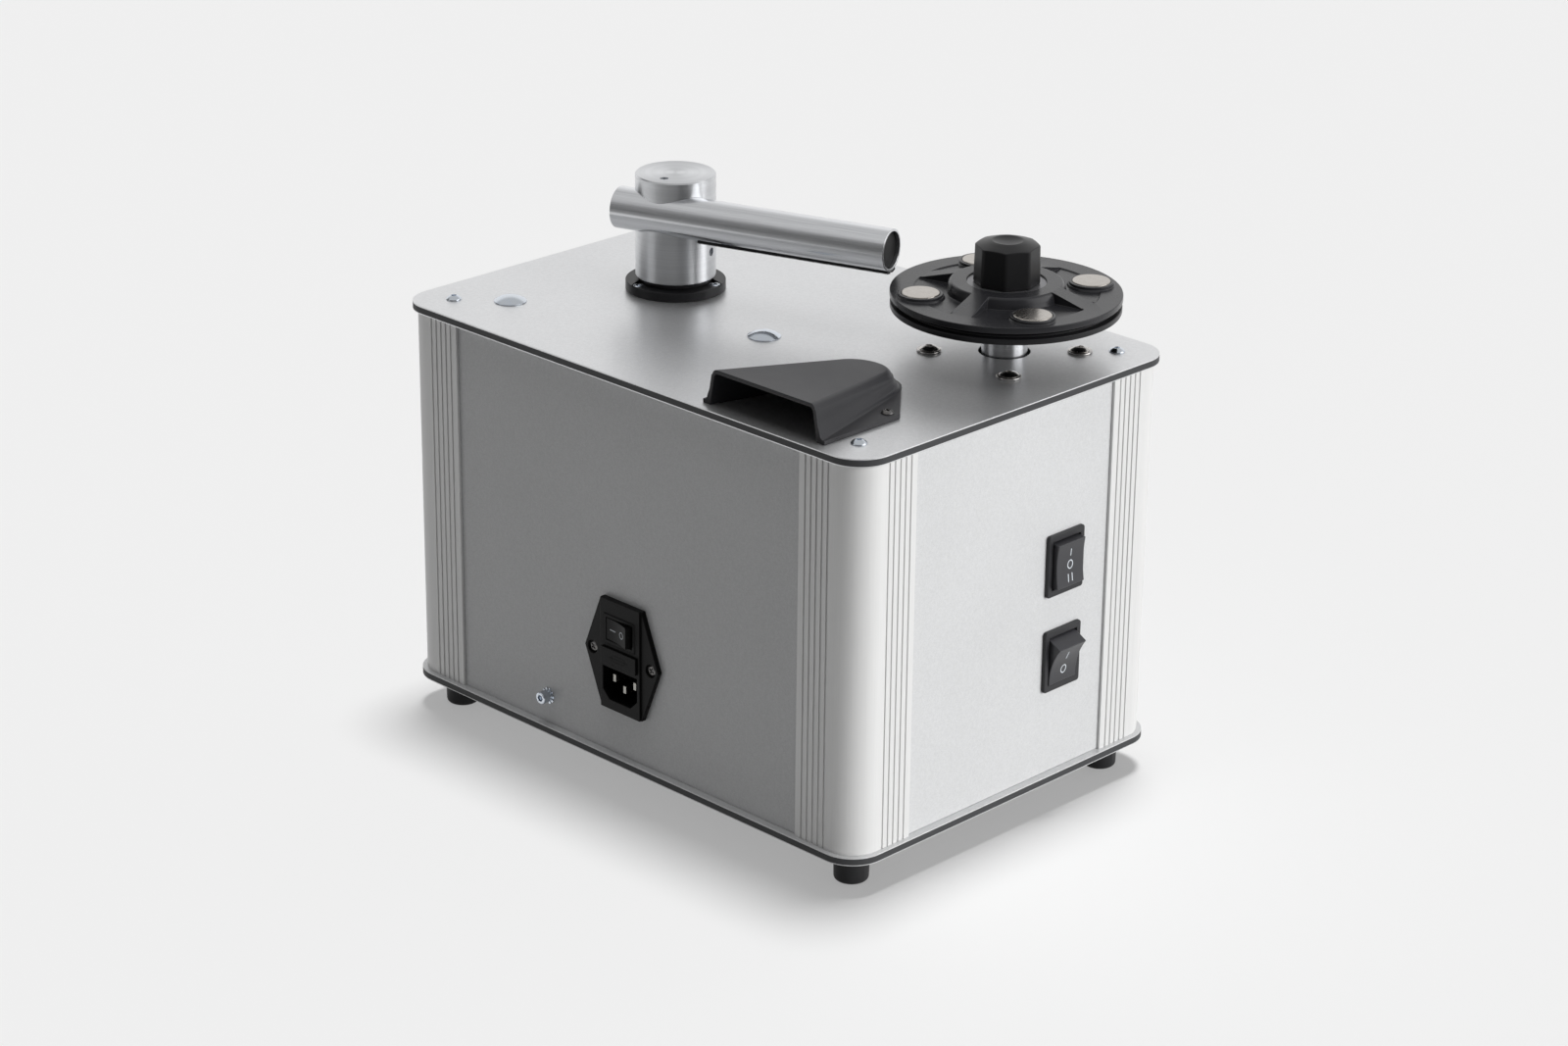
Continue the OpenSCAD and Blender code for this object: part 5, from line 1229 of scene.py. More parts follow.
class Group:
    """A sub-assembly that builds its pieces and dresses them and the CAD nodes that it keeps."""

    kept: tuple[tuple[str, Finish], ...] = ()
    eases: tuple[Ease, ...] = ()

    def build(self) -> Iterator[Piece]:
        """Builds the eased copies, and then the group's own pieces."""
        yield from map(Ease.build, self.eases)
        yield from self.own()

    def own(self) -> Iterator[Piece]:
        """Builds the group's own pieces."""
        return iter(())

    def dress(self) -> Iterator[bpy.types.Object]:
        """Builds and dresses everything that shows.

        Yields:
            Each piece, as it is finished.
        """
        for node, finish in self.kept:
            for slot in frame["nodes"][node].material_slots:
                slot.material = finish.material()
            yield frame["nodes"][node]
        for piece in self.build():
            yield piece.dress()


@dataclass
class Enclosure(Group):
    """The case: plates, corner posts, panels, feet and their screws."""

    kept: tuple[tuple[str, Finish], ...] = (("rubber_feet", RUBBER),)
    eases: tuple[Ease, ...] = (
        Ease("top_plate", TOP_SKIN, 0.2),
        Ease("bottom_plate", FOOT_SKIN, 0.2),
        Ease("post_rear_left", POST_METAL, 0.12, 28.0),
        Ease("post_rear_right", POST_METAL, 0.12, 28.0),
        Ease("post_front_left", POST_METAL, 0.12, 28.0),
        Ease("post_front_right", POST_METAL, 0.12, 28.0),
        Ease("rear_panel", PANEL_SKIN, 0.15),
        Ease("front_panel", PANEL_SKIN, 0.15),
        Ease("end_panel", PANEL_SKIN, 0.15),
        Ease("switch_panel", PANEL_SKIN, 0.15),
    )
    screw_x: float = 135.9
    screw_y: float = 87.4
    foot_seat: float = 9.0
    screw: ScrewHead = ScrewHead(
        radius=3.8, height=2.2, shank=2.0, length=25.0,
        drive=Outline.HEX, drive_size=1.25, drive_depth=1.2,
    )
    bolt_places: tuple[Flat, Flat] = ((-114.9, -69.5), (6.5, -17.0))
    bolt_radius: float = 8.0
    bolt_height: float = 3.0
    bolt_rim: float = 0.45
    bolt_shank: float = 3.0
    bolt_length: float = 50.0

    def own(self) -> Iterator[Piece]:
        """Builds the eight corner screws, four on top and four in the feet's seats, and the bolts.

        Yields:
            Each piece.
        """
        places = []
        for x in (-self.screw_x, self.screw_x):
            for y in (-self.screw_y, self.screw_y):
                places.append(((x, y, TOP_FACE), UP))
                places.append(((x, y, self.foot_seat), DOWN))
        screw = self.screw.build("corner_screw")
        made = REPEAT.set_out("corner_screw_set", screw, places, ZINC, 11)
        yield Piece(made, "corner_screws", ZINC)
        rows = [
            Row(0, -self.bolt_length), Row(self.bolt_shank - 0.4, -self.bolt_length),
            Row(self.bolt_shank, 0.4 - self.bolt_length), Row(self.bolt_shank, 0),
            *dome_rows(self.bolt_radius, self.bolt_height, self.bolt_rim, 14),
        ]
        bolt = Shape().revolve(rows, 64).piece("bolt")
        places = [((x, y, TOP_FACE), UP) for x, y in self.bolt_places]
        made = REPEAT.set_out("carriage_bolt_set", bolt, places, ZINC, 4)
        yield Piece(made, "carriage_bolts", ZINC)


@dataclass
class Arm(Group):
    """The suction arm on its flange: bush, column, tube, plugs and velvet."""

    kept: tuple[tuple[str, Finish], ...] = (("arm_column", COLUMN_METAL),)
    eases: tuple[Ease, ...] = (
        Ease("arm_flange", FLANGE_BLACK, 0.4),
        Ease("guide_bush", FLANGE_BLACK, 0.3),
        Ease("suction_tube", TUBE_METAL, 0.25),
        Ease("tube_plugs", PLUG_PLASTIC, 0.4),
        Ease("set_screws", ZINC, 0.1),
    )
    screw_circle: float = 21.4
    screw_turn: float = 19.0
    screw_face: float = 218.1
    screw_head: float = 2.9
    screw_depth: float = 1.7
    screw_shank: float = 1.5
    screw_length: float = 8.0
    hair_length: float = 0.5
    hair_radius: float = 0.05
    hair_count: int = 5200
    hair_swing: float = 0.45
    hair_lean: float = 0.35

    def own(self) -> Iterator[Piece]:
        """Builds the flange's screws and the velvet."""
        yield self.build_screws()
        yield self.build_velvet()

    def build_screws(self) -> Piece:
        """The three countersunk screws of the flange.

        Returns:
            The screws as one piece.
        """
        head, shank = self.screw_head, self.screw_shank
        flats = shank * 0.65
        rows = [
            Row(0, -self.screw_length), Row(shank - 0.2, -self.screw_length),
            Row(shank, 0.2 - self.screw_length), Row(shank, -self.screw_depth),
            Row(head - 0.05, -0.15), Row(head - 0.05, -0.04), Row(head - 0.2, 0),
            Row(flats * 1.3, 0), Row(flats * 1.06, -0.02, Outline.HEX),
            Row(flats, -0.12, Outline.HEX), Row(flats * 0.97, -1.2, Outline.HEX), Row(0, -1.4),
        ]
        screw = Shape().revolve(rows, 48).piece("flange_screw")
        places = ringed(ARM_AXIS, self.screw_circle, 3, self.screw_turn, self.screw_face)
        made = REPEAT.set_out("flange_screw_set", screw, places, ZINC, 2)
        return Piece(made, "flange_screws", ZINC)

    def build_velvet(self) -> Piece:
        """The two velvet strips with their pile.

        Returns:
            Base and pile as one piece.
        """
        base = merged_copy("velvet_strips", "velvet_base")
        form = bmesh.new()
        form.from_mesh(base.data)
        bmesh.ops.triangulate(form, faces=form.faces)
        form.to_mesh(base.data)
        form.free()
        wide, tall = self.hair_radius, self.hair_length
        rows = [Row(0, 0), Row(wide, 0), Row(wide * 0.7, tall * 0.6), Row(0, tall)]
        hair = loose("hair", Shape().revolve(rows, 3).mesh("hair"))
        places = self.hair_places(base.data)
        pile = REPEAT.set_out("velvet_pile_set", hair, places, VELVET, 9, self.hair_swing)
        return Piece(joined("velvet_lips", base, pile), "velvet_strips", VELVET)

    def hair_places(self, mesh: bpy.types.Mesh) -> list[tuple[Point, Point]]:
        """Even places for the pile on the faces that look down.

        Args:
            mesh: The strips' mesh, in triangles.

        Returns:
            Each hair's root in millimetres and the direction it stands in.
        """
        low = [f for f in mesh.polygons if f.normal.z < -0.5]
        total = sum(f.area for f in low)
        places: list[tuple[Point, Point]] = []
        golden, silver = 0.7548777, 0.5698403
        index = 0
        for face in low:
            a, b, c = (mesh.vertices[v].co for v in face.vertices)
            for _ in range(round(self.hair_count * face.area / total)):
                index += 1
                u, v = (index * golden) % 1.0, (index * silver) % 1.0
                if u + v > 1:
                    u, v = 1 - u, 1 - v
                spot = a + (b - a) * u + (c - a) * v
                lean = Vector((self.hair_lean * (u - 0.5), self.hair_lean * (v - 0.5), 0))
                way = (face.normal + lean).normalized()
                places.append((tuple(spot / MM), tuple(way)))
        return places


@dataclass
class Drive(Group):
    """The platter on its shaft, and the motor's screws round it."""

    eases: tuple[Ease, ...] = (
        Ease("drive_shaft", SHAFT_METAL, 0.3),
        Ease("lower_platter", PLATTER_PLASTIC, 0.4),
        Ease("lower_seal", SEAL_RUBBER, 0.3),
        Ease("spindle", SHAFT_METAL, 0.3),
    )
    screw_middle: Flat = (99.4, 49.2)
    screw_half: float = 25.0
    screw: ScrewHead = ScrewHead(
        radius=4.6, height=2.9, shank=2.5, length=16.0, drive=Outline.HEX, drive_size=1.5,
        drive_depth=1.2, rim=0.25, flange=5.9, flange_height=1.1,
    )

    def own(self) -> Iterator[Piece]:
        """Builds the four flanged screws.

        Yields:
            The screws as one piece.
        """
        x, y = self.screw_middle
        half = self.screw_half
        corners = [(x + sx * half, y + sy * half) for sx in (-1, 1) for sy in (-1, 1)]
        places = [((x, y, TOP_FACE), UP) for x, y in corners]
        screw = self.screw.build("motor_screw")
        made = REPEAT.set_out("motor_screw_set", screw, places, DARK_NICKEL, 21)
        yield Piece(made, "motor_screws", DARK_NICKEL)


@dataclass
class Clamp(Group):
    """The clamp: its spoked disc, magnets, bright ring, seal and knob."""

    eases: tuple[Ease, ...] = (
        Ease("clamp_disc", DISC_PLASTIC, 0.4),
        Ease("upper_seal", SEAL_RUBBER, 0.3),
        Ease("hub_ring", RING_METAL, 0.15),
    )
    magnet_radius: float = 9.0
    magnet_foot: float = 241.4
    magnet_top: float = 245.4
    magnet_circle: float = 41.5
    magnet_turn: float = 58.5
    lip_inner: float = 9.5
    lip_outer: float = 11.0
    lip_foot: float = 242.9
    lip_top: float = 243.9
    knob_foot: float = 247.5
    knob_flats: float = 18.05
    knob_dome: float = 2.35
    knob_turn: float = -6.4
    knob_low: float = 15.8
    knob_high: float = 15.3
    knob_bore: float = 3.05
    knob_bore_height: float = 15.0
    dish_radius: float = 7.4
    dish_depth: float = 1.2

    def own(self) -> Iterator[Piece]:
        """Builds the seats' lips, the magnets and the knob."""
        yield from (self.build_lips(), self.build_magnets(), self.build_knob())

    def magnet_places(self, height: float) -> Places:
        """Where the magnets sit, at any height."""
        return ringed(PLATTER_AXIS, self.magnet_circle, 4, self.magnet_turn, height)

    def build_lips(self) -> Piece:
        """The raised lips round the magnets' seats, part of the disc.

        Returns:
            The lips as one piece.
        """
        tall = self.lip_top - self.lip_foot
        near, far = self.lip_inner, self.lip_outer
        rows = [
            Row(near, 0), Row(far + 0.5, 0), Row(far + 0.1, tall - 0.5), Row(far - 0.1, tall - 0.15),
            Row(far - 0.4, tall), Row(near + 0.35, tall), Row(near + 0.1, tall - 0.1),
            Row(near, tall - 0.35),
        ]
        lip = Shape().revolve(rows, 64, joined=True).piece("lip")
        made = REPEAT.set_out("magnet_lips", lip, self.magnet_places(self.lip_foot), DISC_PLASTIC, 3)
        return Piece(made, "clamp_disc", DISC_PLASTIC, replaces=False)

    def build_magnets(self) -> Piece:
        """The four round magnets.

        Returns:
            The magnets as one piece.
        """
        tall = self.magnet_top - self.magnet_foot
        wide = self.magnet_radius
        rows = [
            Row(0, 0), Row(wide - 0.4, 0), Row(wide - 0.12, 0.12), Row(wide, 0.4),
            Row(wide, tall - 0.5), Row(wide - 0.08, tall - 0.25), Row(wide - 0.25, tall - 0.08),
            Row(wide - 0.5, tall), Row(0, tall),
        ]
        magnet = Shape().revolve(rows, 64).piece("magnet")
        made = REPEAT.set_out("magnet_set", magnet, self.magnet_places(self.magnet_foot), MAGNET_METAL, 6)
        return Piece(made, "clamp_magnets", MAGNET_METAL)

    def knob_reach(self, turn: float, height: float) -> float:
        """How far the knob's eight flats reach in one direction.

        Args:
            turn: The direction, in radians, from a corner.
            height: The height over the knob's foot.

        Returns:
            The distance from the axis, with the corners a little eased.
        """
        share = min(height / (self.knob_flats + self.knob_dome), 1.0)
        corner = self.knob_low + (self.knob_high - self.knob_low) * share
        side = math.radians(45)
        flat = corner * math.cos(side / 2) / math.cos((turn % side) - side / 2)
        return min(flat, corner * 0.988)

    def build_knob(self) -> Piece:
        """The eight-sided knob, whose dome cuts a low arch into each flat.

        Returns:
            The knob.
        """
        steps = 128
        turns = [math.tau * i / steps for i in range(steps)]
        slope = self.knob_dome / (self.knob_high - self.dish_radius)

        def crest(turn: float) -> float:
            """The height at which the dome meets the flats in one direction."""
            return self.knob_flats + (self.knob_high - self.knob_reach(turn, self.knob_flats)) * slope

        def ring(height: Callable[[float], float], inset: float) -> list[Point]:
            """One loop round the knob's flats.

            Args:
                height: Its height in each direction.
                inset: How far it is drawn in.

            Returns:
                The loop.
            """
            loop = []
            for turn in turns:
                z = height(turn)
                reach = self.knob_reach(turn, z) - inset
                loop.append((reach * math.cos(turn), reach * math.sin(turn), z))
            return loop

        loops = [
            [(self.knob_bore * math.cos(t), self.knob_bore * math.sin(t), 0.0) for t in turns],
            ring(lambda t: 0.0, 0.5), ring(lambda t: 0.15, 0.15), ring(lambda t: 0.5, 0.0),
        ]
        for share in (0.33, 0.66):
            loops.append(ring(lambda t, s=share: 0.5 + (crest(t) - 1.0) * s, 0.0))
        loops.append(ring(lambda t: crest(t) - 0.35, 0.0))
        loops.append(ring(lambda t: crest(t) - 0.1, 0.06))
        loops.append(ring(lambda t: crest(t) + 0.06, 0.28))
        for share in (0.35, 0.7, 0.95):
            loop = []
            for turn in turns:
                edge = self.knob_reach(turn, self.knob_flats) - 0.28
                reach = edge + (self.dish_radius - edge) * share
                z = self.knob_flats + (self.knob_high - reach) * slope - 0.02
                loop.append((reach * math.cos(turn), reach * math.sin(turn), z))
            loops.append(loop)
        top = self.knob_flats + self.knob_dome
        for share in (0.97, 0.9, 0.8, 0.65, 0.45, 0.25, 0.0):
            reach = self.dish_radius * share
            z = top - self.dish_depth * (1 - share * share) - 0.05
            loops.append([(reach * math.cos(t), reach * math.sin(t), z) for t in turns])
        place = at(*PLATTER_AXIS, self.knob_foot) @ turned(self.knob_turn, "Z")
        shape = Shape(place).loft(loops, capped=False)
        inner = [
            [(self.knob_bore * math.cos(t), self.knob_bore * math.sin(t), z) for t in turns]
            for z in (0.0, self.knob_bore_height)
        ]
        inner.append([(0.0, 0.0, self.knob_bore_height) for _ in turns])
        shape.loft(inner, capped=False)
        return Piece(shape.piece("knob", 0.002), "clamp_knob", KNOB_PLASTIC)


@dataclass
class Exhaust(Group):
    """The moulded hood over the exhaust hole, and its two screws."""

    middle: float = 89.4
    mouth: float = -100.8
    length: float = 60.8
    foot_half: float = 35.5
    top_half: float = 32.3
    foot_back: float = 18.0
    top_back: float = 15.5
    height: float = 17.6
    back_height: float = 11.8
    edge: float = 3.0
    wall: float = 2.0
    flange: float = 2.0
    flange_half: float = 38.2
    flange_side: float = 48.8
    flange_back: float = 20.7
    fillet: float = 2.2
    screw_offset: float = 32.6
    screw_back: float = 46.2
    screw: ScrewHead = ScrewHead(
        radius=3.0, height=1.9, shank=1.5, length=8.0,
        drive=Outline.CROSS, drive_size=1.5, drive_depth=1.0, rim=0.3,
    )

    def own(self) -> Iterator[Piece]:
        """Builds the hood and its screws.

        Yields:
            Each piece.
        """
        yield self.build_hood()
        screw = self.screw.build("hood_screw")
        z = TOP_FACE + self.flange
        places = [
            ((self.middle + side * self.screw_offset, self.mouth + self.screw_back, z), UP)
            for side in (-1, 1)
        ]
        made = REPEAT.set_out("hood_screw_set", screw, places, OXIDE, 31)
        yield Piece(made, "hood_screws", OXIDE)

    def outline(self, half: float, back: float) -> list[Flat]:
        """The hood's plan: two straight sides that run into a round back.

        Args:
            half: Half its width at the mouth.
            back: The radius of its back.

        Returns:
            The points from the mouth's right end round to its left end.
        """
        reach = math.hypot(half, self.length)
        lean = math.degrees(math.acos(back / reach) - math.atan2(self.length, half))
        start = (half, 0.0)
        turn = math.radians(lean)
        end = (back * math.cos(turn), self.length + back * math.sin(turn))
        steps = 12
        side = [
            (start[0] + (end[0] - start[0]) * k / steps, start[1] + (end[1] - start[1]) * k / steps)
            for k in range(steps)
        ]
        bend = arc((0.0, self.length), back, lean, 90.0, 18)
        right = side + bend
        left = [(-x, y) for x, y in reversed(right[:-1])]
        return right + left

    def ceiling(self, y: float) -> float:
        """The height of the hood's top at a distance from its mouth."""
        return self.height - (self.height - self.back_height) * y / self.length

    def walls(self, inset: float, foot: float, flare: Sequence[Flat]) -> list[list[Point]]:
        """The rows of the hood's wall from its foot over its rounded edge.

        Args:
            inset: How far the wall is drawn in.
            foot: The height of its foot.
            flare: Outward steps at the foot, each with its height.

        Returns:
            The rows.
        """
        edge = max(self.edge - inset, 1.0)
        low = self.outline(self.foot_half - inset, self.foot_back - inset)
        high = self.outline(self.top_half - inset, self.top_back - inset)
        rows: list[list[Point]] = []
        for out, z in flare:
            wide = self.outline(self.foot_half - inset + out, self.foot_back - inset + out)
            rows.append([(x, y, z) for x, y in wide])
        start = flare[-1][1] if flare else foot
        for share in (0.0, 0.35, 0.7, 1.0):
            row = []
            for (ax, ay), (bx, by) in zip(low, high):
                lift = (self.ceiling(by) - inset - edge - start) * share
                lean = (start + lift) / self.ceiling(by)
                row.append((ax + (bx - ax) * lean, ay + (by - ay) * lean, start + lift))
            if share or not flare:
                rows.append(row)
        for k in range(1, 7):
            turn = math.radians(15 * k)
            drawn = edge * (1 - math.cos(turn))
            inner = self.outline(self.top_half - inset - drawn, self.top_back - inset - drawn)
            rows.append([
                (x, y, self.ceiling(y) - inset - edge + edge * math.sin(turn)) for x, y in inner
            ])
        return rows

    def flange_line(self) -> list[Flat]:
        """The flange's plan from the mouth's right end round to its left end.

        Returns:
            The points.
        """
        clipped = self.flange_back / 2
        tip = (clipped, self.flange_side + self.flange_half - clipped)
        reach = tip[1] - self.length
        turn = math.degrees(math.atan2(reach, tip[0]))
        meet = max(turn, math.degrees(math.asin(min(reach / self.flange_back, 1.0))))
        wide, side, soft = self.flange_half, self.flange_side, 1.6
        right = [(wide, 0.0), (wide, side - soft)]
        right += [(wide - soft * 0.29, side + soft * 0.1), (wide - soft * 0.9, side + soft * 0.72)]
        right += arc((0.0, self.length), self.flange_back, meet, 90.0, 14)
        left = [(-x, y) for x, y in reversed(right[:-1])]
        return right + left

    def build_hood(self) -> Piece:
        """The hood as one closed moulding, open at its mouth and underneath.

        Returns:
            The hood.
        """
        bend = self.fillet
        turns = [math.radians(a) for a in (0, 22.5, 45, 67.5, 90)]
        flare = [
            (bend * (1 - math.sin(t)), self.flange + bend * (1 - math.cos(t))) for t in turns
        ]
        outer = self.walls(0.0, self.flange, flare)
        inner = self.walls(self.wall, 0.0, [])
        while len(inner) < len(outer):
            inner.insert(1, [
                tuple(a + (b - a) * 0.5 for a, b in zip(p, q)) for p, q in zip(inner[0], inner[1])
            ])
        shape = Shape(at(self.middle, self.mouth, TOP_FACE))
        form, place = shape.form, shape.place

        def points(row: Sequence[Point]) -> list[bmesh.types.BMVert]:
            """The row's points in the form."""
            return [form.verts.new(place @ Vector(spot)) for spot in row]

        skin = [points(row) for row in outer]
        lining = [points(row) for row in inner]
        rim_top = points([(x, y, self.flange) for x, y in self.flange_line()])
        rim_foot = points([(x, y, 0.0) for x, y in self.flange_line()])
        for rows in (skin, lining, [rim_foot, rim_top]):
            for low, high in zip(rows, rows[1:]):
                for i in range(len(low) - 1):
                    form.faces.new((low[i], low[i + 1], high[i + 1], high[i]))
        form.faces.new(skin[-1])
        form.faces.new(lining[-1])
        form.faces.new(rim_top + list(reversed(skin[0])))
        form.faces.new(rim_foot + list(reversed(lining[0])))
        right = [rim_foot[0], rim_top[0]] + [row[0] for row in skin]
        left = [row[-1] for row in reversed(skin)] + [rim_top[-1], rim_foot[-1]]
        back = [row[-1] for row in lining] + [row[0] for row in reversed(lining)]
        form.faces.new(right + left + back)
        thing = softened(loose("exhaust_hood_shell", shape.mesh("hood", 0.0001)), 0.35, 40.0)
        return Piece(thing, "exhaust_hood", HOOD_PLASTIC)


@dataclass(frozen=True)
class RockerFace:
    """Where a rocker's hollow face lies, and how its marks lie on it."""

    place: Matrix
    reach: float
    length: float
    hollow: float
    sunk: float = 0.1
    proud: float = 0.03

    def height(self, y: float) -> float:
        """The face's height over the pin at a place along the rocker.

        Args:
            y: The distance from the rocker's middle.

        Returns:
            The height.
        """
        half = self.length / 2
        ball = (half * half + self.hollow * self.hollow) / (2 * self.hollow)
        return self.reach - self.hollow + ball - math.sqrt(ball * ball - y * y)

    def bar(self, shape: Shape, x: float, y: float, size: Flat) -> None:
        """Lays a straight mark on the face.

        Args:
            shape: The shape it is added to.
            x: Its middle's x.
            y: Its middle's y.
            size: Its width and height.
        """
        shape.place = self.place
        outline = rounded(rectangle(size[0], size[1], x, y), min(size) * 0.3, 3)
        heights = (-self.sunk, self.proud)
        shape.loft([[(px, py, self.height(py) + z) for px, py in outline] for z in heights])

    def oval(self, shape: Shape, x: float, y: float, size: Flat, stroke: float) -> None:
        """Lays an oval ring on the face.

        Args:
            shape: The shape it is added to.
            x: Its middle's x.
            y: Its middle's y.
            size: Its outer width and height.
            stroke: The width of its line.
        """
        shape.place = self.place
        turns = [math.tau * k / 40 for k in range(40)]
        loops = []
        low, high = -self.sunk, self.proud
        for drawn, z in ((0.0, low), (0.0, high), (stroke, high), (stroke, low)):
            wide, tall = size[0] / 2 - drawn, size[1] / 2 - drawn
            line = [(x + wide * math.cos(turn), y + tall * math.sin(turn)) for turn in turns]
            loops.append([(px, py, self.height(py) + z) for px, py in line])
        shape.loft(loops, joined=True)


@dataclass
class Controls(Group):
    """The two rocker switches with their bezels and marks."""

    eases: tuple[Ease, ...] = (
        Ease("motor_switch_housing", SWITCH_PLASTIC, 0.45),
        Ease("vacuum_switch_housing", SWITCH_PLASTIC, 0.45),
        Ease("motor_switch_rocker", ROCKER_PLASTIC, 0.4, 25.0),
        Ease("vacuum_switch_rocker", ROCKER_PLASTIC, 0.4, 25.0),
    )
    face_x: float = 151.0
    middle_y: float = 36.5
    motor_z: float = 126.6
    vacuum_z: float = 78.2
    pin_depth: float = 2.1
    vacuum_angle: float = 17.0
    stroke: float = 0.5
    circle: Flat = (3.9, 4.6)

    def face(self, z: float, angle: float, reach: float, length: float, hollow: float) -> RockerFace:
        """A rocker's face.

        Args:
            z: The height of the switch's middle.
            angle: How far the rocker is tipped.
            reach: How far the face stands from the pin.
            length: The face's length.
            hollow: How deep it is hollowed.

        Returns:
            The face: x across, y up the rocker and z out of it.
        """
        panel = at(self.face_x, self.middle_y, z) @ turned(90, "Z") @ turned(90, "X")
        pin = panel @ at(0, 0, -self.pin_depth) @ turned(angle, "X")
        return RockerFace(pin, reach, length, hollow)

    def own(self) -> Iterator[Piece]:
        """Builds the marks I, O and II of the motor's switch, and I and O of the vacuum's.

        Yields:
            Each switch's marks as one piece.
        """
        face = self.face(self.motor_z, 0.0, 7.4, 22.0, 1.0)
        shape = Shape()
        face.bar(shape, 0.0, 5.7, (self.stroke, 3.6))
        face.oval(shape, 0.0, -0.5, self.circle, self.stroke)
        for x in (-1.35, 1.35):
            face.bar(shape, x, -7.0, (self.stroke, 4.0))
        thing = loose("motor_switch_marks", shape.mesh("motor_marks"))
        yield Piece(thing, "motor_switch_rocker", MARK_PAINT, replaces=False)
        face = self.face(self.vacuum_z, self.vacuum_angle, 7.8, 20.4, 1.8)
        shape = Shape()
        face.bar(shape, 0.0, 3.85, (self.stroke, 4.4))
        face.oval(shape, 0.0, -4.1, self.circle, self.stroke)
        thing = loose("vacuum_switch_marks", shape.mesh("vacuum_marks"))
        yield Piece(thing, "vacuum_switch_rocker", MARK_PAINT, replaces=False)


@dataclass
class MainsInlet(Group):
    """The mains inlet: body, pins, rocker, fuse drawer, fuse and screws."""

    eases: tuple[Ease, ...] = (
        Ease("inlet_housing", INLET_PLASTIC, 0.35),
        Ease("inlet_pins", BRASS_CONTACT, 0.3),
        Ease("inlet_rocker", INLET_PLASTIC, 0.25, 25.0),
        Ease("fuse_drawer", INLET_PLASTIC, 0.25),
    )
    middle: Point = (0.8, -102.5, 72.1)
    thick: float = 2.7
    face: float = 3.7
    frame_face: float = 4.1
    rocker_up: float = 13.5
    rocker_reach: float = 4.3
    rocker_length: float = 16.0
    rocker_hollow: float = 0.8
    rocker_pin: float = 3.0
    rocker_angle: float = 10.0
    drawer_up: float = -0.25
    drawer_front: float = 1.2
    screw_spacing: float = 40.0
    counterbore_depth: float = 1.6
    screw: ScrewHead = ScrewHead(
        radius=2.8, height=1.3, shank=1.5, length=8.0,
        drive=Outline.CROSS, drive_size=1.6, drive_depth=0.8, rim=0.25,
    )
    cap_length: float = 5.5
    glass_start: float = 5.2

    def place(self) -> Matrix:
        """The inlet's frame: x across, y up and z out of the panel."""
        return at(*self.middle) @ turned(90, "X")

    def own(self) -> Iterator[Piece]:
        """Builds screws, marks and fuse."""
        yield from (self.build_screws(), self.rocker_marks(), self.drawer_mark())
        yield from self.build_fuse()

    def build_screws(self) -> Piece:
        """The two cross-head screws.

        Returns:
            The screws as one piece.
        """
        z = self.thick - self.counterbore_depth
        spots = [Vector((side * self.screw_spacing / 2, 0, z)) for side in (-1, 1)]
        places = [(tuple(self.place() @ spot), (0.0, -1.0, 0.0)) for spot in spots]
        made = REPEAT.set_out("inlet_screw_set", self.screw.build("inlet_screw"), places, OXIDE, 14)
        return Piece(made, "inlet_screws", OXIDE)

    def rocker_marks(self) -> Piece:
        """The marks I and O of the inlet's rocker.

        Returns:
            The marks as one piece.
        """
        place = self.place() @ at(0, self.rocker_up, self.frame_face - self.rocker_pin)
        place = place @ turned(-90, "Z") @ turned(self.rocker_angle, "X")
        face = RockerFace(place, self.rocker_reach, self.rocker_length, self.rocker_hollow)
        shape = Shape()
        face.bar(shape, 0.0, -3.6, (0.5, 4.2))
        face.oval(shape, 0.0, 3.6, (3.6, 3.6), 0.5)
        thing = loose("inlet_rocker_marks", shape.mesh("inlet_marks"))
        return Piece(thing, "inlet_rocker", MARK_PAINT, replaces=False)

    def drawer_mark(self) -> Piece:
        """The fuse sign on the drawer: a bar in an oval frame, as shallow dark lines.

        Returns:
            The sign.
        """
        shape = Shape(self.place() @ at(0, self.drawer_up, self.face + self.drawer_front))
        ring = rounded(rectangle(9.6, 3.4), 1.6, 8)
        hole = rounded(rectangle(9.0, 2.8), 1.3, 8)
        low, high = -0.1, 0.02
        lines = ((ring, low), (ring, high), (hole, high), (hole, low))
        shape.loft([[(x, y, z) for x, y in line] for line, z in lines], joined=True)
        shape.prism(rounded(rectangle(13.0, 0.35), 0.1, 2), low, high)
        thing = loose("fuse_sign", shape.mesh("fuse_sign"))
        return Piece(thing, "fuse_drawer", ENGRAVED, replaces=False)

    def build_fuse(self) -> Iterator[Piece]:
        """The fuse: a glass tube with two caps.

        Yields:
            The caps, which stand for the node, and the glass.
        """
        low, high = (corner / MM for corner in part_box("fuse"))
        radius = (high.z - low.z) / 2
        place = at(low.x, (low.y + high.y) / 2, (low.z + high.z) / 2) @ turned(90, "Y")
        length = high.x - low.x
        caps = Shape(place)
        for start, end in ((0.0, self.cap_length), (length - self.cap_length, length)):
            caps.revolve([
                Row(0, start), Row(radius - 0.25, start), Row(radius, start + 0.25),
                Row(radius, end - 0.15), Row(radius - 0.15, end), Row(0, end),
            ], 40)
        yield Piece(caps.piece("fuse_caps"), "fuse", FUSE_CAP)
        near, far = self.glass_start, length - self.glass_start
        rows = [
            Row(radius - 0.3, near), Row(radius - 0.3, far), Row(radius - 0.8, far), Row(radius - 0.8, near)
        ]
        glass = Shape(place).revolve(rows, 40, joined=True).piece("fuse_glass_tube")
        yield Piece(glass, "fuse", FUSE_GLASS, replaces=False)


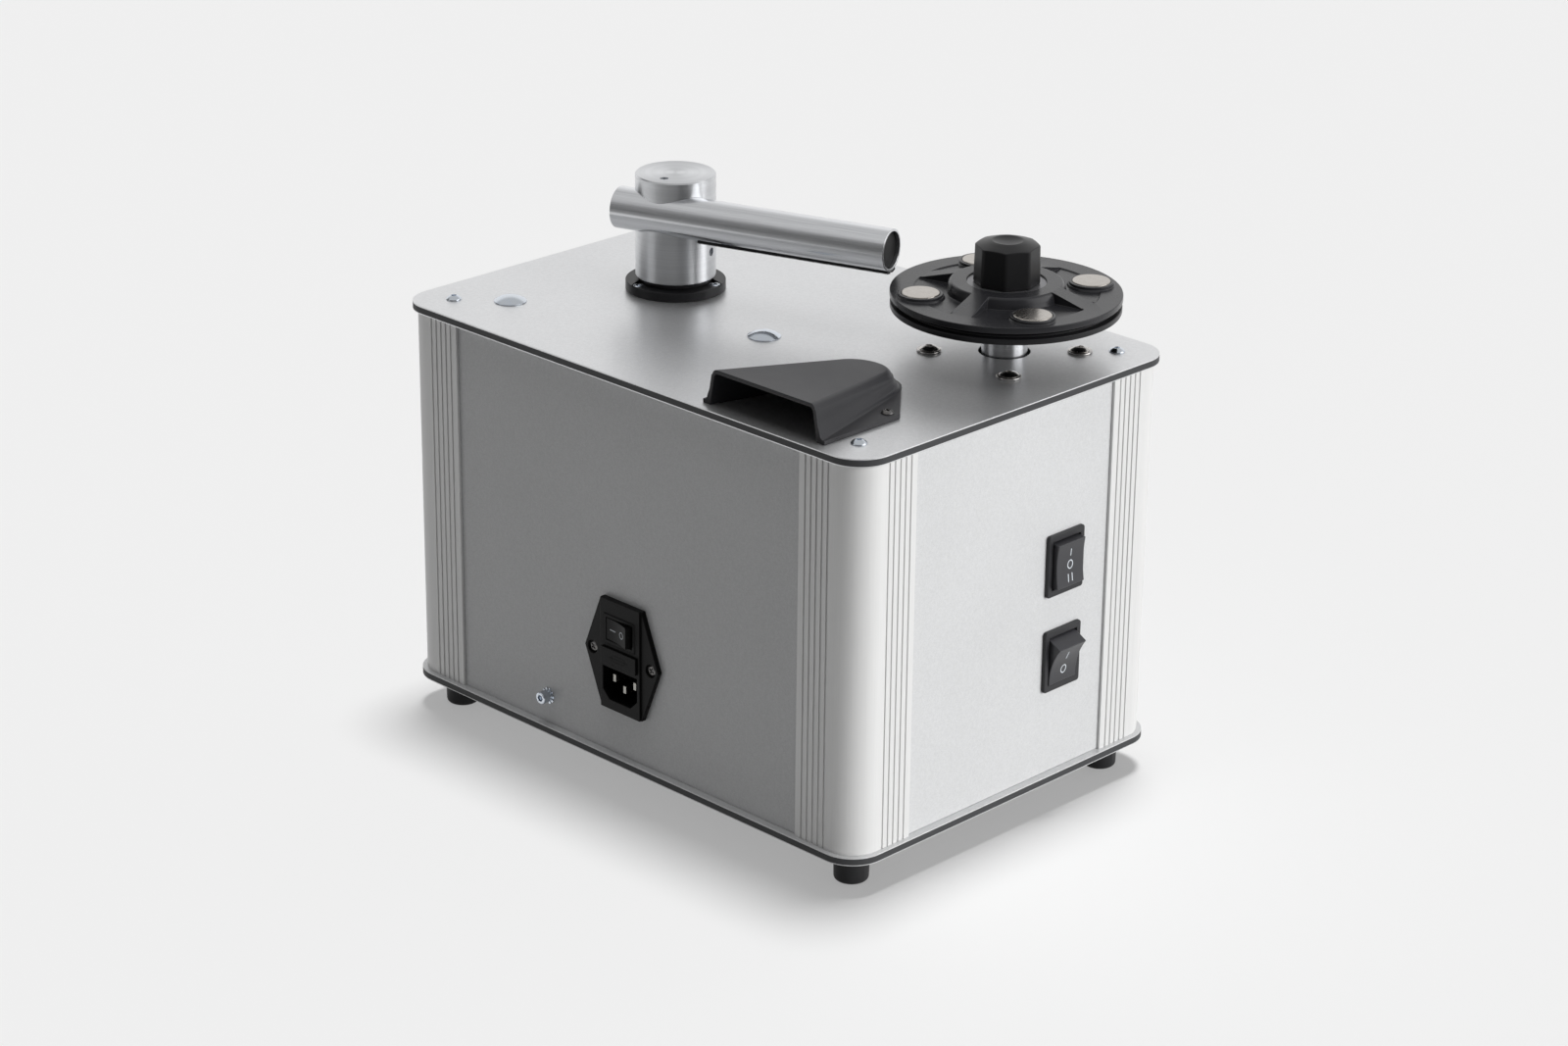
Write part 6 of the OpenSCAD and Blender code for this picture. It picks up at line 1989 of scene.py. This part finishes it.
@dataclass
class EarthPoint(Group):
    """The earth screw and the star washer under it."""

    middle: Point = (-54.0, -102.5, 34.4)
    washer: float = 4.25
    washer_bore: float = 2.05
    washer_thick: float = 0.8
    teeth: int = 10
    head_radius: float = 3.1
    head_height: float = 5.0
    shank: float = 2.0
    length: float = 12.0

    def own(self) -> Iterator[Piece]:
        """Builds screw and washer.

        Yields:
            Each piece.
        """
        place = at(*self.middle) @ turned(90, "X")
        wide, tall = self.head_radius, self.head_height + self.washer_thick
        foot = self.washer_thick
        rows = [
            Row(0, foot - self.length), Row(self.shank - 0.3, foot - self.length),
            Row(self.shank, foot + 0.3 - self.length), Row(self.shank, foot),
            Row(wide - 0.15, foot), Row(wide, foot + 0.2), Row(wide, tall - 0.5),
            Row(wide - 0.12, tall - 0.18), Row(wide - 0.45, tall), Row(2.0, tall),
            Row(1.56, tall - 0.1, Outline.HEX), Row(1.5, tall - 0.3, Outline.HEX),
            Row(1.46, tall - 2.4, Outline.HEX), Row(0, tall - 2.8),
        ]
        yield Piece(Shape(place).revolve(rows, 60).piece("earth_socket_screw"), "earth_screw", ZINC)
        yield self.build_washer(place)

    def build_washer(self, place: Matrix) -> Piece:
        """The washer, with its teeth set out round a thin ring.

        Args:
            place: The frame of the earth point.

        Returns:
            The washer.
        """
        thick = self.washer_thick
        root = self.washer - 1.1
        ring = Shape(place).revolve([
            Row(self.washer_bore, 0.12), Row(root, 0.12), Row(root, thick - 0.12),
            Row(self.washer_bore, thick - 0.12),
        ], 60, joined=True)
        band = softened(loose("washer_ring", ring.mesh("washer_ring")), 0.1)
        half = math.pi * root / self.teeth * 0.62
        shape = Shape().loft([
            [(-half, -0.2, -0.25), (half, -0.2, -0.25), (half, -0.2, 0.25), (-half, -0.2, 0.25)],
            [
                (-half * 0.8, 1.05, -0.38), (half * 0.8, 1.05, 0.02),
                (half * 0.8, 1.05, 0.38), (-half * 0.8, 1.05, -0.02),
            ],
        ])
        tooth = softened(loose("tooth", shape.mesh("tooth")), 0.06)
        metres = place.copy()
        metres.translation = metres.translation * MM
        teeth = []
        for k in range(self.teeth):
            turn = math.tau * k / self.teeth
            spot = (root * math.cos(turn) * MM, root * math.sin(turn) * MM, thick / 2 * MM)
            spin = Matrix.Rotation(turn - math.pi / 2, 4, "Z")
            copy = loose("tooth", tooth.data.copy())
            copy.data.transform(metres @ Matrix.Translation(spot) @ spin)
            teeth.append(copy)
        bpy.data.objects.remove(tooth)
        return Piece(joined("star_washer_toothed", band, *teeth), "star_washer", ZINC)


@dataclass
class Works(Group):
    """What stands inside the case: tank, hoses, blower, motor and leads."""

    eases: tuple[Ease, ...] = (
        Ease("suction_hose", HOSE_PLASTIC, 0.2, 40.0),
        Ease("air_hose", HOSE_PLASTIC, 0.2, 40.0),
        Ease("waste_tank", TANK_PLASTIC, 1.0, 40.0),
        Ease("drain_plug", GLAND_PLASTIC, 0.4, 40.0),
        Ease("blower_casing", BLOWER_PAINT, 0.8, 40.0),
        Ease("blower_motor", BLOWER_PAINT, 0.8, 40.0),
        Ease("blower_impeller", IMPELLER_METAL, 0.15, 40.0),
        Ease("blower_bracket", BRACKET_STEEL, 0.2, 40.0),
        Ease("gear_motor", GEARBOX_METAL, 0.6, 40.0),
        Ease("run_capacitor", CAPACITOR_PLASTIC, 1.0),
        Ease("swivel_gland", GLAND_PLASTIC, 0.3, 40.0),
        Ease("arm_pipe", COLUMN_METAL, 0.2, 40.0),
    )
    hose_bend: float = 30.0
    rib_depth: float = 1.2
    rib_pitch: float = 4.0
    covers: tuple[Colour, ...] = (
        (0.22, 0.09, 0.03), (0.03, 0.09, 0.32), (0.16, 0.30, 0.05), (0.02, 0.02, 0.02),
        (0.35, 0.02, 0.02),
    )

    def own(self) -> Iterator[Piece]:
        """Builds the ribbed hose and the leads."""
        yield self.build_exhaust_hose()
        yield self.build_leads()

    def build_exhaust_hose(self) -> Piece:
        """The ribbed hose from the blower up to the hole under the hood.

        Returns:
            The hose.
        """
        low, high = (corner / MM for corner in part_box("exhaust_hose"))
        radius = (high.y - low.y) / 2
        y = (low.y + high.y) / 2
        run_z = low.z + radius
        rise_x = high.x - radius
        bend = self.hose_bend
        path: list[Point] = [(low.x, y, run_z), (rise_x - bend, y, run_z)]
        path += [(x, y, z) for x, z in arc((rise_x - bend, run_z + bend), bend, -85, 0, 17)]
        path.append((rise_x, y, high.z))
        sizes = (radius, self.rib_depth, self.rib_pitch)
        hose = RIBBED.run("exhaust_hose_ribbed", path, *sizes, HOSE_PLASTIC)
        return Piece(hose, "exhaust_hose", HOSE_PLASTIC)

    def build_leads(self) -> Piece:
        """The five leads, smoothed, each in a cover of its own colour.

        Returns:
            The leads as one piece.
        """
        thing = merged_copy("wiring_leads", "lead_set")
        form = bmesh.new()
        form.from_mesh(thing.data)
        layer = form.loops.layers.float_color.new("cover")
        seen: set[int] = set()
        islands: list[list[bmesh.types.BMFace]] = []
        form.faces.ensure_lookup_table()
        for first in form.faces:
            if first.index in seen:
                continue
            group, queue = [], [first]
            seen.add(first.index)
            while queue:
                face = queue.pop()
                group.append(face)
                for edge in face.edges:
                    for near in edge.link_faces:
                        if near.index not in seen:
                            seen.add(near.index)
                            queue.append(near)
            islands.append(group)
        islands.sort(key=lambda group: min(f.calc_center_median().z for f in group))
        for number, group in enumerate(islands):
            colour = self.covers[number % len(self.covers)]
            for face in group:
                for corner in face.loops:
                    corner[layer] = (*colour, 1.0)
        form.to_mesh(thing.data)
        form.free()
        return Piece(softened(thing, 0.25, 40.0), "wiring_leads", LEAD_COVER)


# The studio

@dataclass
class Studio:
    """Camera, floor and light."""

    eye: Point = (1.2145, -1.2287, 0.8107)
    azimuth: float = 44.569
    elevation: float = 22.031
    roll: float = 0.600
    lens: float = 87.93
    backdrop: float = 0.871
    floor_size: float = 30.0
    floor_tone: float = 0.86
    floor_bounce: float = 0.24
    floor_glow: float = 0.36
    # Painted shade on the floor as glosses see it: where it starts, where it is full, and its tone.
    painted_shade_near: float = 0.25
    painted_shade_far: float = 0.8
    painted_shade_tone: float = 0.22
    room_back: float = 0.95
    room_right: float = 0.80
    right_side: float = 80.0
    room_front: float = 0.14
    room_top: float = 0.60
    strips: tuple[Point, ...] = ((27.0, 18.0, 1.9), (-119.0, 9.0, 0.5))
    fill: float = 0.18
    over_way: Point = (-0.04, 0.14, 1.0)
    over_floor: float = 2.62
    over_width: float = 15.0
    over_machine: float = 1.9
    machine_width: float = 50.0
    side_way: Point = (0.94, 0.305, 0.17)
    side_strength: float = 4.4
    side_width: float = 44.0
    floor: Optional[bpy.types.Object] = None

    def build(self) -> None:
        """Sets the camera, the floor and the light."""
        bpy.context.scene.view_settings.view_transform = "Standard"
        self.set_camera()
        self.set_floor()
        self.set_world()
        self.set_lamps()

    def set_camera(self) -> None:
        """Stands the camera where the photograph was taken."""
        a, e, r = (math.radians(v) for v in (self.azimuth, self.elevation, self.roll))
        back = Vector((math.sin(a) * math.cos(e), -math.cos(a) * math.cos(e), math.sin(e)))
        right = Vector((0, 0, 1)).cross(back).normalized()
        up = back.cross(right)
        side = right * math.cos(r) + up * math.sin(r)
        top = up * math.cos(r) - right * math.sin(r)
        data = bpy.data.cameras.new("eye")
        data.lens = self.lens
        data.sensor_width = 36.0
        data.sensor_fit = "HORIZONTAL"
        data.clip_end = 60.0
        camera = bpy.data.objects.new("eye", data)
        camera.matrix_world = Matrix((
            (side.x, top.x, back.x, self.eye[0]),
            (side.y, top.y, back.y, self.eye[1]),
            (side.z, top.z, back.z, self.eye[2]),
            (0, 0, 0, 1),
        ))
        bpy.context.scene.collection.objects.link(camera)
        bpy.context.scene.camera = camera

    def set_floor(self) -> None:
        """Lays the pale floor, which gives little light back to the object; in glosses its colour darkens
        toward the photographer's side as painted shade.
        """
        half = self.floor_size / 2
        mesh = bpy.data.meshes.new("floor")
        mesh.from_pydata(
            [(-half, -half, 0), (half, -half, 0), (half, half, 0), (-half, half, 0)],
            [], [(0, 1, 2, 3)],
        )
        floor = loose("floor", mesh)
        made = bpy.data.materials.new("floor_pale")
        made.use_nodes = True
        graph = Graph(made.node_tree)
        eye, gloss, glass = graph.rays()
        seen = graph.math("MINIMUM", eye + gloss + glass, 1.0)
        # Painted shade: for glossy rays the floor's colour darkens toward the photographer's side of the
        # room.
        away = graph.vectors("DOT_PRODUCT", graph.place(), self.front(), "Value")
        painted_shade = gloss * graph.step(away, self.painted_shade_near, self.painted_shade_far)
        tone = graph.blend(painted_shade, (self.floor_tone,) * 3, (self.painted_shade_tone,) * 3)
        plain = graph.node("ShaderNodeBsdfDiffuse", None, {"Color": tone})
        strength = self.backdrop / self.floor_tone
        glow = graph.node("ShaderNodeEmission", None, {"Color": tone, "Strength": strength})
        pale = graph.node("ShaderNodeMixShader", None, {0: self.floor_glow, 1: plain, 2: glow})
        dim = graph.node("ShaderNodeBsdfDiffuse", None, {"Color": (*(self.floor_bounce,) * 3, 1.0)})
        both = graph.node("ShaderNodeMixShader", None, {0: seen, 1: dim, 2: pale})
        graph.node("ShaderNodeOutputMaterial", None, {"Surface": both})
        mesh.materials.append(made)
        self.floor = floor

    def front(self) -> Point:
        """The level direction toward the photographer's side of the room."""
        turn = math.radians(self.azimuth)
        return (math.sin(turn), -math.cos(turn), 0.0)

    def set_world(self) -> None:
        """Lights the room softly; glosses see its pale back, its dark front and two tall lights."""
        world = bpy.data.worlds.new("room")
        world.use_nodes = True
        bpy.context.scene.world = world
        graph = Graph(world.node_tree)
        eye, gloss, glass = graph.rays()
        room = self.room_light(graph, graph.place())
        seen = graph.math("MINIMUM", eye + glass, 1.0)
        level = gloss * room + (1 - gloss) * self.fill
        level = seen * self.backdrop + (1 - seen) * level
        sky = graph.node("ShaderNodeBackground", None, {"Color": (1.0, 1.0, 1.0, 1.0), "Strength": level})
        graph.node("ShaderNodeOutputWorld", None, {"Surface": sky})

    def room_light(self, graph: Graph, way: Socket) -> Socket:
        """How bright the room looks in a gloss.

        Args:
            graph: The world's tree.
            way: The direction that is looked in.

        Returns:
            The brightness in that direction.
        """
        height = graph.parts(way)[2]
        back = graph.step(self.along(graph, way, self.azimuth + 90), 0.25, 0.75)
        right = graph.step(self.along(graph, way, self.right_side), 0.35, 0.8)
        low = 1 - graph.step(height, 0.5, 0.8)
        walls = graph.math("MAXIMUM", back * self.room_back, right * self.room_right) * low
        overhead = graph.step(height, 0.5, 0.8) * self.room_top
        room = graph.math("MAXIMUM", walls + overhead, self.room_front)
        for azimuth, half, level in self.strips:
            across = graph.math("ABSOLUTE", self.along(graph, way, azimuth + 90))
            ahead = graph.step(self.along(graph, way, azimuth), 0.0, 0.1)
            edge = math.sin(math.radians(half))
            room = room + (1 - graph.step(across, edge, edge * 1.7)) * ahead * low * level
        return room

    @staticmethod
    def along(graph: Graph, way: Socket, azimuth: float) -> Socket:
        """How far a direction points to one azimuth, in degrees from +X, as a cosine."""
        turn = math.radians(azimuth)
        return graph.vectors("DOT_PRODUCT", way, (math.cos(turn), math.sin(turn), 0.0), "Value")

    def set_lamps(self) -> None:
        """Hangs the lamps: one over the floor, the others over the machine alone."""
        ground = self.sun("over_floor", self.over_way, self.over_floor, self.over_width)
        self.link(ground, "INCLUDE")
        for name, way, strength, width in (
            ("over_machine", self.over_way, self.over_machine, self.machine_width),
            ("side", self.side_way, self.side_strength, self.side_width),
        ):
            lamp = self.sun(name, way, strength, width)
            lamp.visible_glossy = False
            self.link(lamp, "EXCLUDE")

    def link(self, lamp: bpy.types.Object, state: str) -> None:
        """Ties a lamp to the floor, or keeps it off the floor.

        Args:
            lamp: The lamp.
            state: Whether it lights the floor alone or all but the floor.
        """
        group = bpy.data.collections.new(lamp.name + "_lit")
        group.objects.link(self.floor)
        group.collection_objects[0].light_linking.link_state = state
        lamp.light_linking.receiver_collection = group

    @staticmethod
    def sun(name: str, way: Point, strength: float, width: float) -> bpy.types.Object:
        """Hangs one distant lamp.

        Args:
            name: The lamp's name.
            way: The direction it shines from.
            strength: How strong it is.
            width: How wide it looks, in degrees.

        Returns:
            The lamp.
        """
        data = bpy.data.lights.new(name, "SUN")
        data.energy = strength
        data.angle = math.radians(width)
        lamp = bpy.data.objects.new(name, data)
        lamp.rotation_euler = Vector(way).to_track_quat("Z", "Y").to_euler()
        bpy.context.scene.collection.objects.link(lamp)
        return lamp


def main() -> None:
    """Builds the studio, builds and dresses every group, and reports each piece."""
    logging.basicConfig(level=logging.INFO, format="%(name)s: %(message)s")
    Studio().build()
    groups: list[Group] = [
        Enclosure(), Arm(), Drive(), Clamp(), Exhaust(), Controls(), MainsInlet(), EarthPoint(), Works()
    ]
    for group in groups:
        for piece in group.dress():
            LOG.info("%s: %s, %d faces", type(group).__name__, piece.name, len(piece.data.polygons))


if __name__ == "__main__":
    main()
